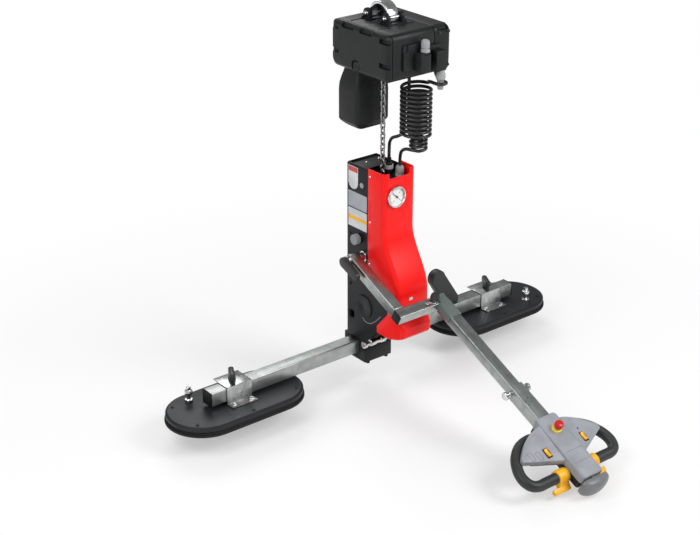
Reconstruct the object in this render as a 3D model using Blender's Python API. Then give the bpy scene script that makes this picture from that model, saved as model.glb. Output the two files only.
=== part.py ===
"""Vacuum lifting device: electric chain hoist, vacuum unit, crossbeam with two suction pads, tiller handle.

Metres, +Z up, +X along the crossbeam, -Y towards the operator.  The pieces are modelled above the plane
of the pads' undersides, and the root empty then puts the origin in the crown of the suspension bow,
on the line of the load chain.
"""
import math

import bmesh
import bpy
from mathutils import Matrix, Vector

# Clearances
TOUCH = 0.0003            # between pieces that touch
SUNK = 0.001              # depth of one shape in another that it is joined to
RUNNING = 0.0005          # round a piece that turns or slides

# Hoist
EYE_Z = 1.037             # underside of the bow's crown above the pads' undersides
BOW_ABOVE = 0.043         # the same above the housing
HOIST_LEFT = -0.093
HOIST_WIDTH = 0.213
HOIST_FRONT = -0.130
HOIST_DEPTH = 0.233
HOIST_HEIGHT = 0.123
HOIST_CORNER = 0.016
LEFT_COVER_DEPTH = 0.014
RIGHT_COVER_DEPTH = 0.061
CHANNEL_WIDTH = 0.036
CHANNEL_DEPTH = 0.110
GUIDE_HEIGHT = 0.020
OUTLET = (0.086, -0.106)  # of the coiled cable, under the right cover

# Connector blocks on the hoist's front
SOCKET_DEPTH = 0.034
LEFT_SOCKET = -0.0136
LEFT_SOCKET_WIDTH = 0.033
LEFT_SOCKET_ABOVE = 0.0235
LEFT_SOCKET_HEIGHT = 0.0485
BASE_LEFT = -0.0486
BASE_WIDTH = 0.071
BASE_ABOVE = 0.027
BASE_HEIGHT = 0.066
BASE_DEPTH = 0.0085
RIGHT_SOCKET = 0.0385
RIGHT_SOCKET_WIDTH = 0.0335
RIGHT_SOCKET_ABOVE = 0.016
RIGHT_SOCKET_HEIGHT = 0.053
NUT_RADIUS = 0.0125
NUT_HEIGHT = 0.032
LEFT_NUT = (0.009, -0.152)
RIGHT_NUT = (0.061, -0.154)
RIGHT_NUT_HEIGHT = 0.052
NECK_RADIUS = 0.009

# Load chain
WIRE = 0.005
LINK_PITCH = 0.015
LINK_WIDTH = 0.017
LINK_OVERLAP = 0.0008
CHAIN_BOTTOM = 0.560
CHAIN_INSIDE = 0.034      # of the chain that is seen in the housing's channel

# Suspension
BOW_SPAN = 0.074
BOW_WIDTH = 0.038
BOW_THICKNESS = 0.009
PIN_ABOVE = 0.015
PIN_RADIUS = 0.005
LUG_RADIUS = 0.014
LUG_THICKNESS = 0.008
PIN_STICKS_OUT = 0.006

# Chain box
BOX_LEFT = -0.070
BOX_WIDTH = 0.112
BOX_FRONT = 0.022
BOX_DEPTH = 0.084
BOX_HEIGHT = 0.170
BOX_CORNER = 0.012

# Coiled cable
CORD_DIAMETER = 0.009
COIL_X = 0.0405
COIL_Y = -0.085
COIL_DIAMETER = 0.086
COIL_BELOW = 0.040        # top of the coil below the housing
COIL_BOTTOM = 0.691
SMALL_COIL_X = 0.050
SMALL_COIL_DIAMETER = 0.054
SMALL_COIL_BOTTOM = 0.648

# Frame of the vacuum unit
FRAME_WIDTH = 0.104
FRAME_BACK = 0.088
FRAME_BOTTOM = 0.080
FRAME_TOP = 0.597
FRAME_FRONT = -0.030
SHEET = 0.004
CHEEK_TOE = 0.003
CHEEK_KNEE = (-0.058, 0.137)
CHEEK_FRONT = -0.105
CHEEK_LOW = 0.195
CHEEK_HIGH = 0.245
CHEEK_SHOULDER = 0.335

# Cover
COVER_WALL = 0.003
COVER_TOP = 0.603
COVER_REAR = -0.007
COVER_FRONT = -0.072
COVER_CORNER = 0.014
FLARE_TOP = 0.438
FLARE_BOTTOM = 0.270
BELLY = 0.066             # of the flare in front of the upright part
BELLY_BOTTOM = 0.200
LIP_HEIGHT = 0.022
CHIN_FRONT = -0.152
CHIN_TOP = 0.155
CHIN_BOTTOM = 0.134
CHIN_TUCK = 0.044
REAR_TOP = 0.310
REAR_LOW = 0.235
REAR_CHEEK = -0.092
REAR_TURN = 0.205
LOFT_STEP = 0.022
NOTCH_LEFT = -0.036
NOTCH_WIDTH = 0.070
NOTCH_DEPTH = 0.016

# Vacuum gauge
GAUGE_X = -0.014
GAUGE_Z = 0.5345
GAUGE_RADIUS = 0.030
GAUGE_LIP = 0.003
NEEDLE_REACH = 0.019
NEEDLE_ANGLE = math.radians(-50.0)

# Inside the frame
PLATE_Z = 0.566
PLATE_SHEET = 0.003
CHAIN_WINDOW = 0.013
ANCHOR_Z = 0.512
ANCHOR_HALF = 0.0105
ANCHOR_GAP = 0.009
PLUG = (0.026, 0.004)
PLUG_RADIUS = 0.0105
PLUG_HEIGHT = 0.044
GLAND = (0.031, -0.035)
GLAND_HEIGHT = 0.032

# Left side of the frame
KNOB_Y = 0.034
KNOB_Z = 0.388
KNOB_RADIUS = 0.0145
KNOB_DEPTH = 0.020
MANIFOLD_UP = 0.0342      # along the cheeks' lower edge
MANIFOLD_RADIUS = 0.0095

# Crossbeam
BEAM_Y = 0.057
BEAM_Z = 0.055
BEAM_SIZE = 0.040
BEAM_WALL = 0.003
BEAM_LENGTH = 1.090
CAP_THICKNESS = 0.004
HUB_RADIUS = 0.033
HUB_LENGTH = 0.094
BLOCK_DEPTH = 0.092
BLOCK_BOTTOM = 0.012
BLOCK_TOP = 0.112
FOOT_INNER = 0.285
FOOT_WIDTH = 0.051
FOOT_HEIGHT = 0.022
PADDLE_X = 0.256
PADDLE_ABOVE = 0.095
PADDLE_RADIUS = 0.026
PADDLE_THICKNESS = 0.026

# Suction pads
PAD_FROM_END = 0.086
PAD_LENGTH = 0.411
PAD_WIDTH = 0.212
SEAL_HEIGHT = 0.014
SEAL_RIM = 0.018
PLATE_THICKNESS = 0.012
PLATE_CHAMFER = 0.004
BRACKET_LENGTH = 0.080
BRACKET_SHEET = 0.003
FLANGE = 0.026
VALVE_X = 0.108
VALVE_Y = 0.060
VALVE_RADIUS = 0.011
VALVE_HEIGHT = 0.044

# Handle frame, in its own plane from the pivot
HANDLE_ANGLE = math.radians(25.0)
PIVOT_Y = 0.012
PIVOT_Z = 0.343
ARM_X = 0.090
ARM_SIZE = 0.030
ARM_WALL = 0.0025
CROSS_AT = 0.221
EYE_RADIUS = 0.017
BOLT_RADIUS = 0.008
WASHER_RADIUS = 0.015
TUBE_X = 0.046
TUBE_WIDTH = 0.034
CLIP_SHEET = 0.003
TUBE_END = 0.600
SLEEVE_START = 0.545
SLEEVE_WALL = 0.003
HEAD_AT = 0.660

# Tiller head, from the end of the sleeve
SPINE_HALF = 0.034
SPINE_TOP = 0.022
SPINE_LENGTH = 0.200
SHELL_BOTTOM = -0.034
SPLIT = -0.006
WING_TIP = 0.128
DROOP = 0.10
GRIP_RADIUS = 0.0145
NOSE_TRAVEL = 0.005
NOSE_LENGTH = 0.028
NOSE_HALF = 0.047
NOSE_Z = 0.006
STEM_RADIUS = 0.006
WING_TOP = 0.014
WING_THICKNESS = 0.017
ROCKER = (0.065, 0.093)
ROCKER_POCKET = (0.011, 0.025)
BUTTON_AT = 0.049
BUTTON_TRAVEL = 0.004
COLLAR_RADIUS = 0.015
COLLAR_HEIGHT = 0.0075
LEVER_AT = 0.150
LEVER_Z = -0.0205
LEVER_REACH = 0.071
LEVER_RADIUS = 0.0185
LEVER_BORE = 0.0095
TAB_REACH = 0.027

# Clamps of the handle
LEVER_HUB = 0.015
LEVER_END = 0.011
LEVER_LENGTH = 0.055
LEVER_THICKNESS = 0.014
HEAD_OF_BOLT = 0.008

SIDES = {"left": -1, "right": 1}
HALF_FRAME = FRAME_WIDTH / 2
HALF_COVER = HALF_FRAME + TOUCH + COVER_WALL
HOIST_TOP = EYE_Z - BOW_ABOVE
HOIST_BOTTOM = HOIST_TOP - HOIST_HEIGHT
HOIST_RIGHT = HOIST_LEFT + HOIST_WIDTH
PIN_Z = HOIST_TOP + PIN_ABOVE
COIL_TOP = HOIST_BOTTOM - COIL_BELOW
LINK_COUNT = 1 + round((HOIST_BOTTOM + CHAIN_INSIDE - CHAIN_BOTTOM) / LINK_PITCH)
PAD_SPACING = BEAM_LENGTH / 2 - PAD_FROM_END
PAD_TOP = SEAL_HEIGHT + TOUCH + PLATE_THICKNESS


# Scene and materials

def clear_scene():
    for old in list(bpy.data.objects):
        bpy.data.objects.remove(old, do_unlink=True)


def empty(name, parent, matrix):
    holder = bpy.data.objects.new(name, None)
    bpy.context.collection.objects.link(holder)
    holder.parent = parent
    holder.matrix_basis = matrix
    return holder


def finish(name, mesh, parent, matrix, colour, metallic, roughness, smooth=None):
    """Make the named object, with its own material, at a place in its parent's frame."""
    piece = bpy.data.objects.new(name, mesh)
    bpy.context.collection.objects.link(piece)
    piece.parent = parent
    piece.matrix_basis = matrix
    material = bpy.data.materials.new(name)
    material.use_nodes = True
    shader = material.node_tree.nodes["Principled BSDF"]
    shader.inputs["Base Color"].default_value = (*colour, 1.0)
    shader.inputs["Metallic"].default_value = metallic
    shader.inputs["Roughness"].default_value = roughness
    mesh.materials.append(material)
    if smooth:
        mesh.shade_smooth()
        mesh.set_sharp_from_angle(angle=math.radians(smooth))
    return piece


BLACK_PAINT = ((0.012, 0.013, 0.014), 0.0, 0.42)
BLACK_PLASTIC = ((0.018, 0.019, 0.020), 0.0, 0.55)
RUBBER = ((0.010, 0.010, 0.010), 0.0, 0.75)
ZINC = ((0.55, 0.57, 0.58), 1.0, 0.38)
BRIGHT = ((0.78, 0.79, 0.80), 1.0, 0.20)
RED_PAINT = ((0.80, 0.012, 0.010), 0.0, 0.30)
GREY_PLASTIC = ((0.23, 0.24, 0.26), 0.0, 0.50)
YELLOW = ((0.85, 0.45, 0.02), 0.0, 0.40)
RED_PLASTIC = ((0.70, 0.02, 0.02), 0.0, 0.35)


# Outlines

def arc(centre, radius, start, end, steps):
    points = []
    for i in range(steps + 1):
        angle = math.radians(start + (end - start) * i / steps)
        points.append((centre[0] + radius * math.cos(angle), centre[1] + radius * math.sin(angle)))
    return points


def circle(radius, steps, centre=(0.0, 0.0), turn=0.0):
    return [(centre[0] + radius * math.cos(turn + 2 * math.pi * i / steps),
             centre[1] + radius * math.sin(turn + 2 * math.pi * i / steps)) for i in range(steps)]


def rectangle(low, high, radius=0.0, steps=3):
    """A rectangle between two corners, with rounded corners if a radius is given."""
    if radius == 0.0:
        return [(low[0], low[1]), (high[0], low[1]), (high[0], high[1]), (low[0], high[1])]
    corners = [((low[0] + radius, low[1] + radius), 180), ((high[0] - radius, low[1] + radius), 270),
               ((high[0] - radius, high[1] - radius), 0), ((low[0] + radius, high[1] - radius), 90)]
    points = []
    for centre, start in corners:
        points += arc(centre, radius, start, start + 90, steps)
    return points


def stadium(length, width, steps=14):
    radius = width / 2
    reach = length / 2 - radius
    return arc((reach, 0), radius, -90, 90, steps) + arc((-reach, 0), radius, 90, 270, steps)


def along(axis, point, level):
    """Place a flat outline's point at a level on an axis; the outline's axes follow in X, Y, Z order."""
    if axis == "x":
        return Vector((level, point[0], point[1]))
    if axis == "y":
        return Vector((point[0], level, point[1]))
    return Vector((point[0], point[1], level))


# Solids

def mesh_from(bm, name):
    bmesh.ops.recalc_face_normals(bm, faces=bm.faces)
    mesh = bpy.data.meshes.new(name)
    bm.to_mesh(mesh)
    bm.free()
    return mesh


def add_loft(bm, rings, caps=True):
    """Bridge rings that have equal numbers of points, and close both ends."""
    loops = [[bm.verts.new(p) for p in ring] for ring in rings]
    for lower, upper in zip(loops, loops[1:]):
        for i in range(len(lower)):
            j = (i + 1) % len(lower)
            bm.faces.new((lower[i], lower[j], upper[j], upper[i]))
    if caps:
        bm.faces.new(loops[0])
        bm.faces.new(loops[-1])
    return loops


def loft(name, rings):
    bm = bmesh.new()
    add_loft(bm, rings)
    return mesh_from(bm, name)


def prism(name, outline, axis, low, high):
    return loft(name, [[along(axis, p, level) for p in outline] for level in (low, high)])


def hollow(name, outer, inner, axis, low, high):
    """A straight length of a section with one hole; both outlines have the same number of points."""
    bm = bmesh.new()
    rings = [[along(axis, p, low) for p in outer], [along(axis, p, high) for p in outer],
             [along(axis, p, high) for p in inner], [along(axis, p, low) for p in inner]]
    loops = add_loft(bm, rings, caps=False)
    for i in range(len(outer)):
        j = (i + 1) % len(outer)
        bm.faces.new((loops[3][i], loops[3][j], loops[0][j], loops[0][i]))
    return mesh_from(bm, name)


def turned(name, profile, axis="z", steps=24, closed=False):
    """Turn a profile of (radius, level) points about an axis; a closed profile makes a ring."""
    bm = bmesh.new()
    rings = []
    for radius, level in profile:
        rings.append([along(axis, p, level) for p in circle(radius, steps)])
    loops = add_loft(bm, rings, caps=not closed)
    if closed:
        for i in range(steps):
            j = (i + 1) % steps
            bm.faces.new((loops[-1][i], loops[-1][j], loops[0][j], loops[0][i]))
    return mesh_from(bm, name)


def cylinder(name, radius, axis, low, high, steps=24):
    return turned(name, [(radius, low), (radius, high)], axis, steps)


def join(name, meshes):
    """Put several closed solids that stay clear of each other into one mesh."""
    bm = bmesh.new()
    for mesh in meshes:
        bm.from_mesh(mesh)
    return mesh_from(bm, name)


def shifted(mesh, offset):
    mesh.transform(Matrix.Translation(offset))
    return mesh


def cut(piece, tool_mesh, matrix, operation="DIFFERENCE"):
    """Cut a piece, or join to it, with a solid placed in the piece's own frame."""
    tool = bpy.data.objects.new(piece.name + "_cutter", tool_mesh)
    bpy.context.collection.objects.link(tool)
    tool.parent = piece.parent
    tool.matrix_basis = piece.matrix_basis @ matrix
    tool.hide_render = True
    tool.display_type = "WIRE"
    modifier = piece.modifiers.new("cut", "BOOLEAN")
    modifier.operation = operation
    modifier.object = tool


def swept(name, path, radius, parent, look, resolution=3):
    """A round cord or bar along a list of points, as a bevelled curve with filled ends."""
    curve = bpy.data.curves.new(name, "CURVE")
    curve.dimensions = "3D"
    curve.bevel_depth = radius
    curve.bevel_resolution = resolution
    curve.use_fill_caps = True
    spline = curve.splines.new("POLY")
    spline.points.add(len(path) - 1)
    for point, place in zip(spline.points, path):
        point.co = (*place, 1.0)
    piece = bpy.data.objects.new(name, curve)
    bpy.context.collection.objects.link(piece)
    piece.parent = parent
    material = bpy.data.materials.new(name)
    material.use_nodes = True
    shader = material.node_tree.nodes["Principled BSDF"]
    shader.inputs["Base Color"].default_value = (*look[0], 1.0)
    shader.inputs["Metallic"].default_value = look[1]
    shader.inputs["Roughness"].default_value = look[2]
    curve.materials.append(material)
    return piece


def smooth_path(points, spacing):
    """Points at even spacing on a smooth curve through the given points."""
    places = [Vector(p) for p in points]
    ends = [places[0] * 2 - places[1]] + places + [places[-1] * 2 - places[-2]]
    fine = []
    for i in range(1, len(ends) - 2):
        a, b, c, d = ends[i - 1:i + 3]
        for k in range(20):
            t = k / 20
            fine.append(0.5 * (2 * b + (c - a) * t + (2 * a - 5 * b + 4 * c - d) * t * t
                               + (3 * b - a - 3 * c + d) * t ** 3))
    fine.append(places[-1])
    total = sum((q - p).length for p, q in zip(fine, fine[1:]))
    count = max(2, round(total / spacing))
    result = [fine[0]]
    travelled = 0.0
    wanted = total / count
    for p, q in zip(fine, fine[1:]):
        step = (q - p).length
        while travelled + step >= wanted * len(result) and len(result) < count:
            result.append(p.lerp(q, (wanted * len(result) - travelled) / step))
        travelled += step
    result.append(fine[-1])
    return result


IDENTITY = Matrix.Identity(4)


# Hoist

def hoist_module(name, low, high, low_bevel, high_bevel, root):
    """A stretch of the housing along X, with rounded long edges and, at an outer end, a wide bevel."""
    def ring(level, inset):
        corner = (HOIST_FRONT + inset, HOIST_BOTTOM + inset)
        opposite = (HOIST_FRONT + HOIST_DEPTH - inset, HOIST_TOP - inset)
        return [along("x", p, level) for p in rectangle(corner, opposite, HOIST_CORNER, 4)]

    rings = [ring(low + low_bevel, 0.0), ring(high - high_bevel, 0.0)]
    if low_bevel:
        rings.insert(0, ring(low, low_bevel))
    if high_bevel:
        rings.append(ring(high, high_bevel))
    return finish(name, loft(name, rings), root, IDENTITY, *BLACK_PAINT, smooth=30)


def build_hoist(root):
    left_seam = HOIST_LEFT + LEFT_COVER_DEPTH
    right_seam = HOIST_RIGHT - RIGHT_COVER_DEPTH
    hoist_module("hoist_cover_left", HOIST_LEFT, left_seam - TOUCH, 0.009, 0.0, root)
    hoist_module("hoist_cover_right", right_seam + TOUCH, HOIST_RIGHT, 0.0, 0.012, root)
    body = hoist_module("hoist_body", left_seam, right_seam, 0.0, 0.0, root)
    half = CHANNEL_WIDTH / 2
    channel = prism("channel", rectangle((-half, -half), (half, half)), "z",
                    HOIST_BOTTOM - 0.01, HOIST_BOTTOM + CHANNEL_DEPTH)
    cut(body, channel, IDENTITY)
    build_chain_guide(root)
    build_sockets(root)
    build_suspension(root, body)
    build_chain_box(root)


def build_chain_guide(root):
    """The guide lets the flat and the upright links through its cross-shaped slot."""
    wide = LINK_WIDTH / 2 + RUNNING
    thin = WIRE / 2 + RUNNING
    half = CHANNEL_WIDTH / 2 - TOUCH
    slot = []
    block = []
    for quarter in range(4):
        turn = Matrix.Rotation(quarter * math.pi / 2, 2)
        slot += [turn @ Vector(p) for p in ((wide, -thin), (wide, thin), (thin, thin))]
        block += [turn @ Vector(p) for p in ((half, -thin), (half, thin), (half, half))]
    mesh = hollow("chain_guide", block, slot, "z", HOIST_BOTTOM + TOUCH, HOIST_BOTTOM + GUIDE_HEIGHT)
    finish("chain_guide", mesh, root, IDENTITY, *BRIGHT)


def build_sockets(root):
    """Two connector blocks on the front face, one with its gland upwards and one downwards."""
    face = HOIST_FRONT - TOUCH
    front = face - SOCKET_DEPTH
    bottom = HOIST_BOTTOM + LEFT_SOCKET_ABOVE
    top = bottom + LEFT_SOCKET_HEIGHT
    outline = rectangle((LEFT_SOCKET, bottom), (LEFT_SOCKET + LEFT_SOCKET_WIDTH, top), 0.004, 2)
    left = finish("socket_left", prism("block", outline, "y", front, face), root, IDENTITY, *BLACK_PLASTIC)
    base_bottom = HOIST_BOTTOM + BASE_ABOVE
    outline = rectangle((BASE_LEFT, base_bottom), (BASE_LEFT + BASE_WIDTH, base_bottom + BASE_HEIGHT), 0.006, 2)
    cut(left, prism("base", outline, "y", face - BASE_DEPTH, face - TOUCH), IDENTITY, "UNION")
    slim = NUT_RADIUS - 0.0015
    nut = [(NUT_RADIUS, -SUNK), (NUT_RADIUS, 0.012), (slim, 0.014), (slim, NUT_HEIGHT - 0.006), (0.008, NUT_HEIGHT)]
    cut(left, turned("upper", nut, "z", 16), Matrix.Translation((*LEFT_NUT, top)), "UNION")

    bottom = HOIST_BOTTOM + RIGHT_SOCKET_ABOVE
    opposite = (RIGHT_SOCKET + RIGHT_SOCKET_WIDTH, bottom + RIGHT_SOCKET_HEIGHT)
    outline = rectangle((RIGHT_SOCKET, bottom), opposite, 0.004, 2)
    right = finish("socket_right", prism("block", outline, "y", front, face), root, IDENTITY, *BLACK_PLASTIC)
    neck_top = RIGHT_NUT_HEIGHT / 2 + 0.001
    under = [(slim, SUNK), (slim, -0.006), (NUT_RADIUS, -0.008), (NUT_RADIUS, 0.003 - neck_top),
             (NECK_RADIUS, -neck_top), (NECK_RADIUS, -neck_top - 0.014), (NECK_RADIUS - 0.001, -neck_top - 0.015),
             (NECK_RADIUS - 0.003, -RIGHT_NUT_HEIGHT)]
    cut(right, turned("lower", under, "z", 16), Matrix.Translation((*RIGHT_NUT, bottom)), "UNION")


def build_suspension(root, body):
    """Two clevises stand on the housing and hold the pins of a bow bent from flat bar."""
    inner = BOW_WIDTH / 2 + TOUCH
    ears = []
    for leg in (-1, 1):
        y = leg * BOW_SPAN / 2
        for side in (-1, 1):
            outline = arc((y, PIN_Z), LUG_RADIUS, 0, 180, 12)
            outline += [(y - LUG_RADIUS - 0.004, HOIST_TOP - SUNK), (y + LUG_RADIUS + 0.004, HOIST_TOP - SUNK)]
            low, high = sorted((side * inner, side * (inner + LUG_THICKNESS)))
            ears.append(prism("ear", outline, "x", low, high))
    cut(body, join("lugs", ears), IDENTITY, "UNION")
    holes = [shifted(cylinder("hole", PIN_RADIUS + TOUCH, "x", -0.04, 0.04, 16), (0, leg * BOW_SPAN / 2, PIN_Z))
             for leg in (-1, 1)]
    cut(body, join("pin_holes", holes), IDENTITY)

    reach = inner + LUG_THICKNESS + PIN_STICKS_OUT
    pins = [shifted(cylinder("pin", PIN_RADIUS, "x", -reach, reach, 16), (0, leg * BOW_SPAN / 2, PIN_Z))
            for leg in (-1, 1)]
    crown = EYE_Z - BOW_SPAN / 2 + BOW_THICKNESS / 2
    legs = []
    for radius in (BOW_SPAN / 2 + BOW_THICKNESS / 2, BOW_SPAN / 2 - BOW_THICKNESS / 2):
        legs.append(arc((0, crown), radius, 0, 180, 16))
    foot = PIN_Z - 0.011
    outline = [(legs[0][0][0], foot)] + legs[0] + [(legs[0][-1][0], foot)]
    outline += [(legs[1][-1][0], foot)] + legs[1][::-1] + [(legs[1][0][0], foot)]
    bow = finish("suspension_bow", prism("bow", outline, "x", -BOW_WIDTH / 2, BOW_WIDTH / 2), root, IDENTITY,
                 *BRIGHT, smooth=30)
    cut(bow, join("pins", pins), IDENTITY, "UNION")


def build_chain_box(root):
    """A moulded box under the housing, narrow at its neck, with its foot chamfered all round."""
    top = HOIST_BOTTOM - TOUCH
    levels = [(top - BOX_HEIGHT, 0.012), (top - BOX_HEIGHT + 0.014, 0.0), (top - 0.060, 0.0),
              (top - 0.030, 0.006), (top, 0.012)]
    rings = []
    for level, inset in levels:
        low = (BOX_LEFT + inset, BOX_FRONT + min(inset, 0.008))
        high = (BOX_LEFT + BOX_WIDTH - inset, BOX_FRONT + BOX_DEPTH - inset)
        rings.append([along("z", p, level) for p in rectangle(low, high, BOX_CORNER, 4)])
    finish("chain_box", loft("chain_box", rings), root, IDENTITY, *BLACK_PLASTIC, smooth=30)


# Load chain

def link_mesh(centre_z, upright):
    """A welded oval link: a six-sided wire round a path with two half-round ends."""
    across = (LINK_WIDTH - WIRE) / 2
    reach = (LINK_PITCH + WIRE - LINK_OVERLAP) / 2 - across
    path = [(x, z + reach) for x, z in arc((0, 0), across, 0, 180, 4)]
    path += [(x, z - reach) for x, z in arc((0, 0), across, 180, 360, 4)]
    bm = bmesh.new()
    rings = []
    for x, z in path:
        inward = Vector((-x, 0, (reach if z > 0 else -reach) - z)).normalized()
        ring = []
        for k in range(6):
            angle = k * math.pi / 3
            offset = math.cos(angle) * inward + math.sin(angle) * Vector((0, 1, 0))
            ring.append(Vector((x, 0, z)) + WIRE / 2 * offset)
        rings.append(ring)
    loops = add_loft(bm, rings, caps=False)
    for k in range(6):
        j = (k + 1) % 6
        bm.faces.new((loops[-1][k], loops[-1][j], loops[0][j], loops[0][k]))
    mesh = mesh_from(bm, "link")
    if upright:
        mesh.transform(Matrix.Rotation(math.pi / 2, 4, "Z"))
    return shifted(mesh, (0, 0, centre_z))


def build_chain(root):
    """Every second link is turned a quarter; each pair meets where the wires bear on each other."""
    levels = [CHAIN_BOTTOM + i * LINK_PITCH for i in range(LINK_COUNT)]
    flat = join("flat", [link_mesh(level, False) for level in levels[::2]])
    upright = join("upright", [link_mesh(level, True) for level in levels[1::2]])
    chain = finish("load_chain", flat, root, IDENTITY, *ZINC, smooth=40)
    cut(chain, upright, IDENTITY, "UNION")


# Vacuum unit

def build_frame(root):
    """Sheet-metal channel, open to the front, with wide lower cheeks for the crossbeam's bearing."""
    side = [(FRAME_BACK, FRAME_BOTTOM), (CHEEK_TOE, FRAME_BOTTOM), CHEEK_KNEE, (CHEEK_FRONT, CHEEK_LOW),
            (CHEEK_FRONT, CHEEK_HIGH), (FRAME_FRONT, CHEEK_SHOULDER), (FRAME_FRONT, FRAME_TOP),
            (FRAME_BACK, FRAME_TOP)]
    frame = finish("frame_channel", prism("frame", side, "x", -HALF_FRAME, HALF_FRAME), root, IDENTITY,
                   *BLACK_PAINT)
    inner = HALF_FRAME - SHEET
    over = 0.02
    inside = prism("inside", rectangle((CHEEK_FRONT - over, FRAME_BOTTOM - over),
                                       (FRAME_BACK - SHEET, FRAME_TOP + over)), "x", -inner, inner)
    cut(frame, inside, IDENTITY)
    corner = BEAM_SIZE / math.sqrt(2) + RUNNING
    relief = cylinder("beam_relief", corner, "x", -HALF_FRAME - over, HALF_FRAME + over, 48)
    cut(frame, relief, Matrix.Translation((0, BEAM_Y, BEAM_Z)))


def cover_front(z):
    """The cover's front: upright above, swept out to a belly, and drawn in again under the handle's bar."""
    belly = COVER_FRONT - BELLY
    if z >= FLARE_TOP:
        return COVER_FRONT
    if z >= FLARE_BOTTOM:
        t = (FLARE_TOP - z) / (FLARE_TOP - FLARE_BOTTOM)
        return COVER_FRONT - BELLY * (3 * t * t - 2 * t * t * t)
    if z >= BELLY_BOTTOM:
        return belly
    if z >= CHIN_TOP:
        t = min(1.0, (BELLY_BOTTOM - z) / LIP_HEIGHT)
        return belly + (CHIN_FRONT - belly) * t
    t = (CHIN_TOP - z) / (CHIN_TOP - CHIN_BOTTOM)
    return CHIN_FRONT + CHIN_TUCK * t * t


def cover_rear(z):
    """The cover's rear edge follows the frame's cheeks."""
    if z >= REAR_TOP:
        return COVER_REAR
    if z >= REAR_LOW:
        return COVER_REAR + (REAR_CHEEK - COVER_REAR) * (REAR_TOP - z) / (REAR_TOP - REAR_LOW)
    if z >= REAR_TURN:
        return REAR_CHEEK
    t = min(1.0, (REAR_TURN - z) / (REAR_TURN - CHIN_TOP))
    return REAR_CHEEK + CHIN_TUCK * t


def build_cover(root):
    """Pressed cover of one wall thickness, lofted through U-shaped sections from its chin to its open top."""
    marks = [CHIN_BOTTOM, CHIN_TOP, BELLY_BOTTOM - LIP_HEIGHT, BELLY_BOTTOM, REAR_TURN, REAR_LOW, FLARE_BOTTOM,
             REAR_TOP, FLARE_TOP, COVER_TOP]
    levels = [marks[0]]
    for low, high in zip(marks, marks[1:]):
        steps = 1 if low >= FLARE_TOP else math.ceil((high - low) / LOFT_STEP)
        levels += [low + (high - low) * (i + 1) / steps for i in range(steps)]
    rings = []
    for z in levels:
        front = cover_front(z)
        rear = cover_rear(z)
        ring = []
        for half, lead, radius in ((HALF_COVER, 0.0, COVER_CORNER),
                                   (HALF_COVER - COVER_WALL, COVER_WALL, COVER_CORNER - COVER_WALL)):
            path = [(-half, rear)] + arc((-half + radius, front + lead + radius), radius, 180, 270, 4)
            path += arc((half - radius, front + lead + radius), radius, 270, 360, 4) + [(half, rear)]
            ring += path if lead == 0.0 else path[::-1]
        rings.append([along("z", p, z) for p in ring])
    cover = finish("front_cover", loft("front_cover", rings), root, IDENTITY, *RED_PAINT, smooth=40)
    through = (COVER_FRONT - 0.01, COVER_FRONT + COVER_CORNER)
    notch = rectangle((NOTCH_LEFT, COVER_TOP - NOTCH_DEPTH), (NOTCH_LEFT + NOTCH_WIDTH, COVER_TOP + 0.01))
    cut(cover, prism("notch", notch, "y", *through), IDENTITY)
    hole = cylinder("gauge_hole", GAUGE_RADIUS - GAUGE_LIP, "y", *through, 32)
    cut(cover, hole, Matrix.Translation((GAUGE_X, 0, GAUGE_Z)))


def build_inside(root):
    """Anchor for the chain, and the plate above it that carries the plug and the gland."""
    inner = HALF_FRAME - SHEET - TOUCH
    ear_top = CHAIN_BOTTOM + 0.004
    slot = ANCHOR_GAP / 2
    slot_bottom = ANCHOR_Z + 0.022
    clevis = [(-ANCHOR_HALF, ANCHOR_Z), (ANCHOR_HALF, ANCHOR_Z), (ANCHOR_HALF, ear_top), (slot, ear_top),
              (slot, slot_bottom), (-slot, slot_bottom), (-slot, ear_top), (-ANCHOR_HALF, ear_top)]
    anchor = finish("chain_anchor", prism("anchor", clevis, "x", -inner, inner), root, IDENTITY, *ZINC)
    pin = WIRE / 2
    pin_z = CHAIN_BOTTOM - (LINK_PITCH - LINK_OVERLAP) / 2 + TOUCH + pin
    bar = cylinder("anchor_pin", pin, "y", -slot - SUNK, slot + SUNK, 12)
    cut(anchor, bar, Matrix.Translation((0, 0, pin_z)), "UNION")

    rear = FRAME_BACK - SHEET - TOUCH
    window = rectangle((-CHAIN_WINDOW, -CHAIN_WINDOW), (CHAIN_WINDOW, CHAIN_WINDOW))
    plate = hollow("terminal_plate", rectangle((-inner, COVER_FRONT + 0.010), (inner, rear)), window, "z", PLATE_Z,
                   PLATE_Z + PLATE_SHEET)
    plate = finish("terminal_plate", plate, root, IDENTITY, *ZINC)
    plug = turned("plug", [(PLUG_RADIUS - 0.001, -SUNK), (PLUG_RADIUS, 0.002), (PLUG_RADIUS, 0.026), (0.007, 0.030),
                           (0.0065, PLUG_HEIGHT)], "z", 20)
    gland = turned("gland", [(NUT_RADIUS, -SUNK), (NUT_RADIUS, 0.012), (NUT_RADIUS - 0.0015, 0.014),
                             (NUT_RADIUS - 0.0015, 0.026), (0.008, GLAND_HEIGHT)], "z", 12)
    shelf = PLATE_Z + PLATE_SHEET
    cut(plate, plug, Matrix.Translation((*PLUG, shelf)), "UNION")
    cut(plate, gland, Matrix.Translation((*GLAND, shelf)), "UNION")


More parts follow.
